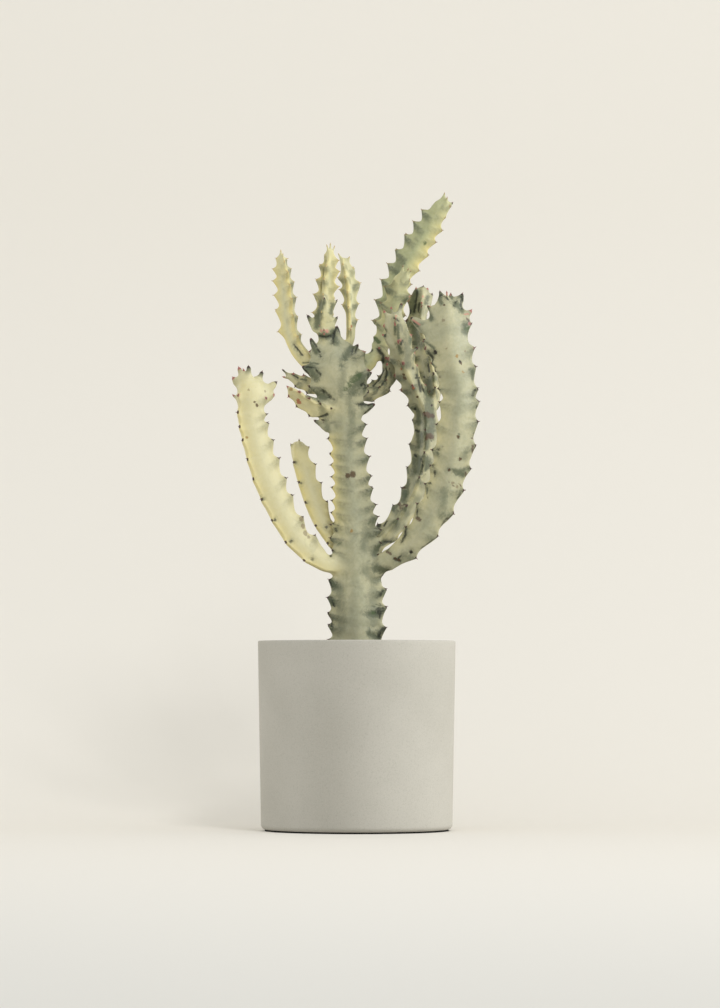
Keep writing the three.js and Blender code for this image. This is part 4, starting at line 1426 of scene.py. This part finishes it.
@dataclass
class PlantBody:
    """The whole plant as one grown skin, its stems joined and softened where they meet."""

    stems: tuple
    junction_reach: float = 0.0065
    junction_rounds: int = 60
    bud_reach: float = 0.0042
    bud_rounds: int = 22
    colour_reach: float = 0.02
    colour_rounds: int = 60
    smoothing: float = 0.6
    tooth_hold: float = 0.8
    hold_gain: float = 1.5
    number_step: float = 0.01
    first_bud_number: float = 100.0
    snap_px: float = 5.0
    under_px: float = 2.5
    streak_depth: float = 0.008
    streak_fall: float = 0.7
    nowhere: float = -9.0
    edge_turn: float = -0.05
    edge_fade: float = 0.3
    halo_px: float = 2.6
    halo_share: float = 0.55
    groove: float = 0.0006
    moss_groove: float = 0.5
    spots: list = field(default_factory=list)

    def build(self) -> Thing:
        """Sweeps the stems, joins them, and paints the skin.

        Returns:
            The plant's object.
        """
        parts = []
        for number, stem in enumerate(self.stems):
            sweep = Sweep(stem, seed=number + 1)
            parts.append(self.part(stem.name + "_skin", float(number), *sweep.build()))
            self.spots += sweep.spots
            LOG.info("swept %s: %d corners", stem.name, len(parts[-1].data.vertices))
            for *root, x, y, z, half_width, tone in BUDS.get(stem.name, ()):
                bud = Bud(np.array(root, dtype=float), np.array([x, y, z], dtype=float), half_width, tone)
                shape = BudShape().build(bud, stem.look)
                parts.append(self.part("bud", self.first_bud_number + len(parts), *shape))
                self.spots.append(bud.spot(stem.look))
        plant = self.join(parts)
        self.relax(plant.data)
        self.paint(plant.data)
        return dressed(plant, StemSkin(scars=self.scars_on(plant)).make())

    def part(self, name: str, number: float, corners: Array, faces: list, values: dict) -> Thing:
        """The object of one stem or bud, which carries its number on each corner."""
        return mesh_object(name, corners, faces, values | {"stem": np.full(len(corners), number)})

    def scars_on(self, plant: Thing) -> tuple:
        """Finds where each old mark lies on the skin, looking from the camera.

        Args:
            plant: The plant's skin.

        Returns:
            Middle, radius and kind of each mark that meets the skin.
        """
        found, eye = [], Vector(Studio().camera_place())
        for mark in (Mark(*row) for row in MARKS):
            aim = Vector((mark.across_mm * MM, 0.0, mark.height_mm * MM)) - eye
            hit, point, _, _ = plant.ray_cast(eye, aim.normalized())
            if hit:
                found.append((point, mark.radius_mm * MM, mark.scar))
        LOG.info("%d old marks found on the skin", len(found))
        return tuple(found)

    def paint(self, mesh: bpy.types.Mesh) -> None:
        """Paints the streaks, painted shade among them, onto the skin that the camera sees, and presses the dark
        ones in a little.

        Args:
            mesh: The plant's mesh.
        """
        place, studio = positions(mesh), Studio()
        normals = np.zeros(place.size, dtype=np.float32)
        mesh.vertex_normals.foreach_get("vector", normals)
        normals = normals.reshape(-1, 3)
        sight = np.array(studio.camera_place()) - place
        turned_here = np.einsum("ij,ij->i", sight, normals) / np.linalg.norm(sight, axis=1)
        strength = np.clip((turned_here - self.edge_turn) / self.edge_fade, 0, 1)
        self.seen, self.back, self.facing = studio.seen_at(place), place[:, 1], turned_here > 0
        sunk, halo = np.zeros(len(place)), np.zeros(len(place))
        for ink, rows in STREAKS.items():
            value = np.zeros(len(place))
            for width, *flat in rows:
                line = [self.under(point) for point in np.array(flat, dtype=float).reshape(-1, 2)]
                for start, end in zip(line, line[1:] + line[-1:]):
                    value = np.maximum(value, self.along_line(start, end, width / 2))
                    if ink is Ink.BLACK:
                        wide = self.along_line(start, end, width / 2 + self.halo_px)
                        halo = np.maximum(halo, self.halo_share * wide * strength)
            value *= strength
            # The shade ink is painted shade; it also takes the haze round the black streaks, which is marbling.
            if ink is Ink.SHADE:
                value = np.maximum(value, halo)
            write_values(mesh, ink.value, value)
            if ink in (Ink.BLACK, Ink.MOSS):
                sunk = np.maximum(sunk, value * (1.0 if ink is Ink.BLACK else self.moss_groove))
            LOG.info("painted %d %s streaks", len(rows), ink.value)
        set_positions(mesh, place - normals * sunk[:, None] * self.groove)

    def gaps_to(self, point: Array) -> Array:
        """How far each corner that faces the camera is from a pixel."""
        return np.where(self.facing, np.hypot(*(self.seen - point).T), np.inf)

    def under(self, point: Array) -> Array:
        """The skin under a pixel: the nearest corner that shows there, and how far back it lies.

        Args:
            point: The pixel.

        Returns:
            The pixel, moved onto the skin where it lay just outside, and the distance back.
        """
        gap = self.gaps_to(point)
        nearest = int(np.argmin(gap))
        if self.under_px < gap[nearest] < self.snap_px:
            point = self.seen[nearest]
            gap = self.gaps_to(point)
        close = gap < self.under_px
        return np.array([*point, self.back[close].min() if close.any() else self.nowhere])

    def along_line(self, start: Array, end: Array, half_width: float) -> Array:
        """How strongly each corner lies on one straight part of a streak.

        Args:
            start: Pixel and distance back of its start.
            end: Pixel and distance back of its end.
            half_width: Half the streak's width in pixels.

        Returns:
            1 on the streak, falling to 0 beside it.
        """
        run, offset = end - start, self.seen - start[:2]
        share = np.clip(offset @ run[:2] / max(run[:2] @ run[:2], 1e-9), 0, 1)
        gap = np.hypot(*(offset - share[:, None] * run[:2]).T)
        level = np.abs(self.back - start[2] - share * run[2]) < self.streak_depth
        return np.exp(-self.streak_fall * (gap / half_width) ** 2) * level

    def join(self, parts: list) -> Thing:
        """Joins the stems into one closed skin.

        Args:
            parts: The stems' objects, the trunk first.

        Returns:
            The joined object.
        """
        plant, others = parts[0], parts[1:]
        gathered = bpy.data.collections.new("stems_to_join")
        for part in others:
            bpy.context.scene.collection.objects.unlink(part)
            gathered.objects.link(part)
        bpy.context.scene.collection.children.link(gathered)
        union = plant.modifiers.new("join", "BOOLEAN")
        union.operation, union.operand_type, union.solver = "UNION", "COLLECTION", "MANIFOLD"
        union.collection = gathered
        applied(plant)
        for part in others:
            bpy.data.objects.remove(part)
        bpy.data.collections.remove(gathered)
        plant.name = "plant_body"
        return plant

    def relax(self, mesh: bpy.types.Mesh) -> None:
        """Softens the creases between stems and buds, and lets the colours of stems run together.

        Args:
            mesh: The joined plant's mesh.
        """
        place, stem, tooth = positions(mesh), read_values(mesh, "stem"), read_values(mesh, "tooth")
        pairs = np.zeros(len(mesh.edges) * 2, dtype=np.int32)
        mesh.edges.foreach_get("vertices", pairs)
        self.ends = pairs.reshape(-1, 2).T
        first, second = stem[self.ends]
        crossing = np.abs(first - second) > self.number_step
        budded = np.maximum(first, second) > self.first_bud_number - 1
        hold = 1 - self.tooth_hold * np.clip(tooth * self.hold_gain, 0, 1)
        for chosen, reach, rounds in ((crossing & ~budded, self.junction_reach, self.junction_rounds),
                                      (crossing & budded, self.bud_reach, self.bud_rounds)):
            weight = self.closeness(place, chosen, reach) * hold
            self.smooth(place, weight, rounds)
            LOG.info("softened %d corners within %.4f m of a crease", int((weight > 0).sum()), reach)
        keys = ("cream", "young", "warm", "green", "fringe")
        values = np.stack([read_values(mesh, key) for key in keys], 1)
        self.smooth(values, self.closeness(place, crossing & ~budded, self.colour_reach), self.colour_rounds)
        for key, column in zip(keys, values.T):
            write_values(mesh, key, column)
        set_positions(mesh, place)

    def closeness(self, place: Array, chosen: Array, reach: float) -> Array:
        """How close each corner lies to the nearest end of a chosen edge: 1 there, 0 beyond the reach.

        Args:
            place: Corner positions.
            chosen: Whether each edge is chosen.
            reach: The reach in metres.

        Returns:
            A smooth weight for each corner.
        """
        tree = tree_of(place[np.unique(self.ends[:, chosen])])
        weight = np.clip(1 - np.array([tree.find(point)[2] for point in place]) / reach, 0, 1)
        return weight * weight * (3 - 2 * weight)

    def smooth(self, rows: Array, weight: Array, rounds: int) -> None:
        """Moves the values of corners towards the mean of their neighbours.

        Args:
            rows: A row of values for each corner, changed in place.
            weight: Strength at each corner.
            rounds: How often.
        """
        (first, second), size = self.ends, len(rows)
        count = np.bincount(first, minlength=size) + np.bincount(second, minlength=size)
        for _ in range(rounds):
            total = np.zeros_like(rows)
            for axis in range(rows.shape[1]):
                total[:, axis] = (np.bincount(first, rows[second, axis], size)
                                  + np.bincount(second, rows[first, axis], size))
            rows += self.smoothing * weight[:, None] * (total / count[:, None] - rows)


# ---- Spines and grains ----


class ScatterTree:
    """A Geometry Nodes tree that stands one small shape on each corner of a cloud."""

    def __init__(self, name: str, material: bpy.types.Material, sizes: dict) -> None:
        """Starts the tree.

        Args:
            name: The tree's name.
            material: The finish of every copy.
            sizes: Values of the shape's sizes, each a named input.
        """
        self.group = bpy.data.node_groups.new(name, "GeometryNodeTree")
        self.sheet, self.material, self.sizes = NodeSheet(self.group), material, sizes
        sockets = self.group.interface
        for way in ("INPUT", "OUTPUT"):
            sockets.new_socket("Geometry", in_out=way, socket_type="NodeSocketGeometry")
        for key, value in sizes.items():
            sockets.new_socket(key, in_out="INPUT", socket_type="NodeSocketFloat").default_value = value
        self.inputs = self.sheet.add("NodeGroupInput").outputs

    def named(self, name: str) -> Socket:
        """Reads one of the cloud's vectors."""
        node = self.sheet.add("GeometryNodeInputNamedAttribute", {"data_type": "FLOAT_VECTOR"}, Name=name)
        return node.outputs["Attribute"]

    def run(self, cloud: Thing, shape: bpy.types.Node) -> Thing:
        """Stands the shape on a cloud's corners and keeps the result as a plain mesh.

        Args:
            cloud: The cloud's object.
            shape: The node that makes the shape.

        Returns:
            The same object with its new mesh.
        """
        add = self.sheet.add
        turn = add("FunctionNodeAlignRotationToVector", {"axis": "Z"}, Vector=self.named("aim"))
        copies = add("GeometryNodeInstanceOnPoints", Points=self.inputs["Geometry"],
                     Instance=shape.outputs["Mesh"], Rotation=turn.outputs["Rotation"], Scale=self.named("growth"))
        real = add("GeometryNodeRealizeInstances", Geometry=copies.outputs["Instances"])
        dress = add("GeometryNodeSetMaterial", Geometry=real.outputs["Geometry"], Material=self.material)
        add("NodeGroupOutput", Geometry=dress.outputs["Geometry"])
        modifier = cloud.modifiers.new(self.group.name, "NODES")
        modifier.node_group = self.group
        for item in self.group.interface.items_tree:
            if item.in_out == "INPUT" and item.name in self.sizes:
                modifier[item.identifier] = self.sizes[item.name]
        return applied(cloud)


def cloud_object(name: str, places: object, vectors: dict, values: dict | None = None) -> Thing:
    """A cloud of loose corners.

    Args:
        name: The object's name.
        places: Where each copy stands.
        vectors: Which way each points, and its size along x, y and z, under their names.
        values: Further numbers for each corner.

    Returns:
        The cloud's object.
    """
    cloud = mesh_object(name, places, [], values)
    for key, rows in vectors.items():
        layer = cloud.data.attributes.new(key, "FLOAT_VECTOR", "POINT")
        layer.data.foreach_set("vector", np.asarray(rows, dtype=np.float32).ravel())
    return cloud


@dataclass
class Spines:
    """Short paired spines, one pair on each eye."""

    length: float = 0.0018
    radius: float = 0.00042
    point_radius: float = 0.00004
    sides: int = 6
    spread: float = 0.55
    sunk: float = 0.0006
    buried_beyond: float = 0.0012
    least_pink: float = 0.12
    smallest: tuple = (-0.1, 0.75, 0.85)
    largest: tuple = (0.45, 1.2, 1.15)

    def build(self, plant: Thing, spots: list) -> Thing:
        """Places the spines.

        Args:
            plant: The plant's skin.
            spots: Where each pair stands.

        Returns:
            The spines' object.
        """
        tree, rng = tree_of(positions(plant.data)), np.random.default_rng(5)
        places, aims, growths, blush, tan = [], [], [], [], []
        for spot in spots:
            found, _, distance = tree.find(spot.place)
            across = np.cross(spot.outwards, spot.upwards)
            for side in (-1, 1):
                lean, girth, reach = rng.uniform(self.smallest, self.largest)
                if distance > self.buried_beyond:
                    continue
                aim = spot.outwards + side * self.spread * across + spot.upwards * lean
                places.append(np.array(found) - spot.outwards * self.sunk)
                aims.append(aim / np.linalg.norm(aim))
                size = girth * spot.size
                growths.append((size, size, size * reach))
                blush.append(min(1.0, self.least_pink + spot.pink))
                tan.append(spot.pale)
        cloud = cloud_object("spines", places, {"aim": aims, "growth": growths}, {"blush": blush, "tan": tan})
        sizes = {"Length": self.length, "Radius": self.radius}
        scatter = ScatterTree("spine_scatter", SpineHorn().make(), sizes)
        horn = scatter.sheet.add("GeometryNodeMeshCone", {"fill_type": "NGON"}, Vertices=self.sides,
                                 Depth=scatter.inputs["Length"], Radius_Bottom=scatter.inputs["Radius"],
                                 Radius_Top=self.point_radius)
        return scatter.run(cloud, horn)


# ---- Pot and soil ----


def turned(name: str, profile: list, segments: int, finish: Finish) -> Thing:
    """A closed body turned about the upright axis.

    Args:
        name: The object's name.
        profile: Points of (radius, height), from the axis round to the axis.
        segments: Steps round the axis.
        finish: Its finish.

    Returns:
        The object.
    """
    inner = np.array(profile[1:-1])
    angles = np.linspace(0, 2 * math.pi, segments, endpoint=False)
    rings = np.stack([inner[:, :1] * np.cos(angles), inner[:, :1] * np.sin(angles),
                      np.repeat(inner[:, 1:], segments, 1)], -1)
    corners = np.concatenate([rings.reshape(-1, 3), [(0, 0, profile[0][1])], [(0, 0, profile[-1][1])]])
    body = mesh_object(name, corners, tube_faces(len(inner), segments, downwards=True))
    return dressed(body, finish.make())


def arc(centre: tuple, radius: float, start: float, end: float, steps: int) -> list:
    """Points of an arc in a profile.

    Args:
        centre: Its middle, as (radius, height).
        radius: Its radius.
        start: First angle in degrees.
        end: Last angle in degrees.
        steps: Number of steps.

    Returns:
        The points.
    """
    angles = np.radians(np.linspace(start, end, steps + 1))
    return [(centre[0] + radius * math.cos(a), centre[1] + radius * math.sin(a)) for a in angles]


@dataclass
class Pot:
    """A slightly flared pot with a rounded foot on a thin recessed ring painted nearly black as shade, and a softly
    rounded rim.
    """

    rim_radius: float = 0.0824
    foot_radius: float = 0.0797
    height: float = 0.1579
    wall: float = 0.0065
    floor: float = 0.009
    foot_rounding: float = 0.0045
    foot_turn: float = 66
    foot_steps: int = 8
    ring_radius: float = 0.0764
    rim_rounding: float = 0.0012
    rim_steps: int = 5
    side_steps: int = 40
    hub_share: float = 0.5
    segments: int = 192

    def build(self) -> Thing:
        """Turns the pot.

        Returns:
            The pot's object.
        """
        finish, rounding, steps = PotFinish(), self.rim_rounding, self.rim_steps
        drop = self.foot_rounding * math.sin(math.radians(self.foot_turn))
        foot = [(self.ring_radius, 0), (self.ring_radius, finish.ring_height)]
        foot += arc((self.foot_radius - self.foot_rounding, finish.ring_height + drop), self.foot_rounding,
                    -self.foot_turn, 0, self.foot_steps)
        rim_height = self.height - rounding
        outer = arc((self.rim_radius - rounding, rim_height), rounding, 0, 90, steps)
        inner = arc((self.rim_radius - self.wall + rounding, rim_height), rounding, 90, 180, steps)
        side = [tuple(np.array(foot[-1]) + (np.array(outer[0]) - foot[-1]) * k / self.side_steps)
                for k in range(1, self.side_steps)]
        well = [(self.foot_radius - self.wall, self.floor), (0, self.floor)]
        profile = [(0, 0), (self.foot_radius * self.hub_share, 0)] + foot + side + outer + inner + well
        return turned("pot_body", profile, self.segments, finish)


@dataclass
class Soil:
    """Potting mix with an uneven top and crumbs and grit lying on it."""

    level: float = 0.143
    mound: float = 0.003
    clod_height: float = 0.0016
    clod_spacing: float = 0.027
    clod_shift: tuple = (0.0043, -0.0017)
    clod_fade: float = 0.0098
    edge_radius: float = 0.0753
    collar_radius: float = 0.02635
    hole_radius: float = 0.0185
    hole_depth: float = 0.006
    floor: float = 0.0095
    floor_radius: float = 0.0728
    roughness: tuple = ((190, 0.0005), (520, 0.0004))
    grain_margins: tuple = (0.006, 0.003)
    bend: float = 1.7
    bend_scale: float = 0.8
    cross_scale: float = 1.13
    grain_rise: float = 0.25
    small_grains: float = 2.5
    grain_shape: tuple = (0.6, 1.15)
    segments: int = 160
    rings: int = 56

    def build(self) -> Thing:
        """Makes the soil's body.

        Returns:
            The soil's object.
        """
        rng = np.random.default_rng(11)
        top, hole = self.level, self.level - self.hole_depth
        profile = [(0, self.floor), (self.floor_radius, self.floor)]
        profile += [(r, top) for r in np.linspace(self.edge_radius, self.hole_radius, self.rings)]
        profile += [(self.hole_radius, hole), (0, hole)]
        soil = turned("soil_body", profile, self.segments, PottingMix())
        place = positions(soil.data)
        across, back = place[:, 0], place[:, 1]
        rough = self.height_at(across, back) - top
        for scale, height in self.roughness:
            turn = rng.uniform(0, WAVE_PHASES, 4)
            bend = self.bend * np.sin(back * scale * self.bend_scale + turn[1])
            rough += (height * np.sin(across * scale + turn[0] + bend)
                      * np.cos(back * scale * self.cross_scale + turn[2]))
        place[:, 2] += np.where(place[:, 2] > top - MM, rough, 0)
        set_positions(soil.data, place)
        return soil

    def height_at(self, across: Array, back: Array) -> Array:
        """The cloddy soil's height.

        Args:
            across: Distances to the right of the axis.
            back: Distances behind it.

        Returns:
            The height at each place.
        """
        distance = np.hypot(across, back)
        share = np.clip((self.edge_radius - distance) / (self.edge_radius - self.collar_radius), 0, 1)
        turn = 2 * math.pi / self.clod_spacing
        clods = np.sin(turn * (across + self.clod_shift[0])) * np.cos(turn * (back + self.clod_shift[1]))
        fade = np.clip((distance - self.collar_radius) / self.clod_fade, 0, 1)
        return self.level - self.mound * (1 - share) + self.clod_height * clods * fade

    def scatter(self, name: str, finish: Finish, count: int, radii: tuple, seed: int) -> Thing:
        """Lays loose grains on the soil.

        Args:
            name: The object's name.
            finish: Their finish.
            count: How many grains.
            radii: Smallest and largest grain radius.
            seed: Seed of their places.

        Returns:
            The grains' object.
        """
        rng, (low, high) = np.random.default_rng(seed), radii
        inner, outer = self.hole_radius + self.grain_margins[0], self.edge_radius - self.grain_margins[1]
        radius = np.sqrt(rng.uniform(inner ** 2, outer ** 2, count))
        angle = rng.uniform(0, 2 * math.pi, count)
        size = low + (high - low) * rng.uniform(0, 1, count) ** self.small_grains
        across, back = radius * np.cos(angle), radius * np.sin(angle)
        places = np.stack([across, back, self.height_at(across, back) + self.grain_rise * size], 1)
        aims = rng.normal(0, 1, (count, 3))
        growths = size[:, None] * rng.uniform(*self.grain_shape, (count, 3))
        cloud = cloud_object(name, places, {"aim": aims, "growth": growths})
        scatter = ScatterTree(name + "_scatter", finish.make(), {"Grain radius": 1.0})
        grain = scatter.sheet.add("GeometryNodeMeshIcoSphere", Radius=scatter.inputs["Grain radius"], Subdivisions=1)
        return scatter.run(cloud, grain)


# ---- Studio ----


@dataclass
class Studio:
    """A pale sweep, a soft key light from the front right, and the camera."""

    sweep_start: float = 0.09
    sweep_radius: float = 0.62
    half_width: float = 3.0
    wall_height: float = 2.4
    floor_front: float = -4.2
    # Painted light and shade: the paper is darker at the front and lighter towards and up the curve, evening out the
    # shade where the floor bends into the wall.
    near_paper_painted_shade: tuple = srgb(219, 217, 211)
    far_paper_painted_light: tuple = srgb(240, 236, 228)
    paper_range: tuple = (-1.9, 0.02)
    paper_roughness: float = 0.95
    paper_gloss: float = 0.1
    sweep_steps: int = 32
    sky: tuple = srgb(240, 241, 240)
    sky_strength: float = 0.94
    photo_width_px: int = 720
    photo_height_px: int = 1008
    focal_px: float = 3887.0
    sensor_mm: float = 36.0
    distance: float = 3.244
    camera_height: float = 0.122
    tilt_degrees: float = 2.65
    camera_side: float = 0.00275
    clip: tuple = (0.05, 30)

    def camera_place(self) -> tuple[float, float, float]:
        """Where the camera stands."""
        return self.camera_side, -self.distance, self.camera_height

    def seen_at(self, place: Array) -> Array:
        """The pixel at which the camera sees each place.

        Args:
            place: Positions, one a row.

        Returns:
            Pixels to the right and down, one pair a row.
        """
        tilt = math.radians(self.tilt_degrees)
        reach = place - np.array(self.camera_place())
        depth = reach @ [0, math.cos(tilt), math.sin(tilt)]
        rise = reach @ [0, -math.sin(tilt), math.cos(tilt)]
        return np.stack([self.photo_width_px / 2 + self.focal_px * reach[:, 0] / depth,
                         self.photo_height_px / 2 - self.focal_px * rise / depth], 1)

    def build(self) -> None:
        """Builds the stage, the lights and the camera."""
        self.build_sweep()
        self.area("key", (0.72, -1.75, 1.85), 0.25, 0.5, 15)
        self.area("side", (2.0, -0.4, 0.9), 0.2, 1.0, 30, subject_only=True)
        self.area("edge", (-1.9, 0.7, 0.6), 0.2, 0.8, 18, subject_only=True)
        world = bpy.data.worlds.new("studio")
        bpy.context.scene.world = world
        world.use_nodes = True
        sheet = NodeSheet(world.node_tree)
        for name, value in (("Color", self.sky), ("Strength", self.sky_strength)):
            sheet.feed(world.node_tree.nodes["Background"], name, value)
        self.build_camera()

    def build_sweep(self) -> None:
        """The floor that curves up into a wall, which is clear from behind, its paper painted darker in front and
        lighter towards the curve.
        """
        curve = arc((self.sweep_start, self.sweep_radius), self.sweep_radius, -90, 0, self.sweep_steps)
        line = [(self.floor_front, 0.0)] + curve + [(self.sweep_start + self.sweep_radius, self.wall_height)]
        corners = [(x, y, z) for y, z in line for x in (-self.half_width, self.half_width)]
        faces = [[2 * k, 2 * k + 1, 2 * k + 3, 2 * k + 2] for k in range(len(line) - 1)]
        material, sheet, shader = new_material("studio_paper")
        depth = sheet.add("ShaderNodeSeparateXYZ", Vector=sheet.place()).outputs["Y"]
        # Painted light and shade on the paper, ramped by distance back.
        tone = sheet.blend(sheet.ramp(depth, *self.paper_range), self.near_paper_painted_shade, self.far_paper_painted_light)
        for name, value in (("Base Color", tone), ("Roughness", self.paper_roughness),
                            ("Specular IOR Level", self.paper_gloss)):
            sheet.feed(shader, name, value)
        reverse = sheet.add("ShaderNodeNewGeometry").outputs["Backfacing"]
        clear = sheet.add("ShaderNodeBsdfTransparent").outputs[0]
        one_sided = sheet.filled("ShaderNodeMixShader", {}, reverse, shader.outputs[0], clear)
        sheet.feed(material.node_tree.nodes["Material Output"], "Surface", one_sided.outputs[0])
        dressed(mesh_object("studio_sweep", corners, faces), material)

    def area(self, name: str, place: tuple, target_height: float, size: float, power: float,
             subject_only: bool = False) -> None:
        """One soft square light that points at the object.

        Args:
            name: Its name.
            place: Where it stands.
            target_height: Height of its aim above the pot's middle.
            size: Its side.
            power: Its power in watts.
            subject_only: Whether the stage is kept out of its light.
        """
        light = bpy.data.lights.new(name, "AREA")
        light.size, light.energy = size, power
        lamp = bpy.data.objects.new(name, light)
        lamp.location = place
        aim = Vector((0, 0, target_height)) - Vector(place)
        lamp.rotation_euler = aim.to_track_quat("-Z", "Y").to_euler()
        bpy.context.scene.collection.objects.link(lamp)
        if subject_only:
            unlit = bpy.data.collections.new(name + "_leaves_out")
            unlit.objects.link(bpy.data.objects["studio_sweep"])
            unlit.collection_objects[0].light_linking.link_state = "EXCLUDE"
            lamp.light_linking.receiver_collection = unlit

    def build_camera(self) -> None:
        """The camera at the photograph's angle."""
        lens = bpy.data.cameras.new("camera")
        lens.sensor_fit = "VERTICAL"
        lens.sensor_height = lens.sensor_width = self.sensor_mm
        lens.lens = self.focal_px / self.photo_height_px * self.sensor_mm
        lens.clip_start, lens.clip_end = self.clip
        camera = bpy.data.objects.new("camera", lens)
        camera.location = self.camera_place()
        camera.rotation_euler = (math.radians(90 + self.tilt_degrees), 0, 0)
        bpy.context.scene.collection.objects.link(camera)
        bpy.context.scene.camera = camera


def place_piece(piece: Thing, slot: str, *nodes: str) -> None:
    """Declares a piece of the object.

    Args:
        piece: The piece.
        slot: Name of a material slot; it is only written to the log.
        *nodes: The CAD nodes that it stands for.
    """
    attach(piece, "root")
    if nodes:
        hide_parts(*nodes)
    LOG.info("%s: %d faces, slot %s", piece.name, len(piece.data.polygons), slot)


def main() -> None:
    """Builds every piece in order."""
    bpy.context.scene.view_settings.view_transform = "Standard"
    Studio().build()
    place_piece(Pot().build(), "pot_finish", "pot")
    soil = Soil()
    place_piece(soil.build(), "potting_mix", "soil")
    crumbs = soil.scatter("soil_crumbs", PottingMix("crumb"), count=2600, radii=(0.0006, 0.0026), seed=21)
    place_piece(crumbs, "potting_mix")
    place_piece(soil.scatter("soil_grit", Grit(), count=260, radii=(0.0007, 0.0021), seed=22), "potting_mix")
    body = PlantBody(STEMS)
    plant = body.build()
    place_piece(plant, "stem_grey_green", *PLANT_NODES)
    place_piece(Spines().build(plant, body.spots), "stem_grey_green")


if __name__ == "__main__":
    main()
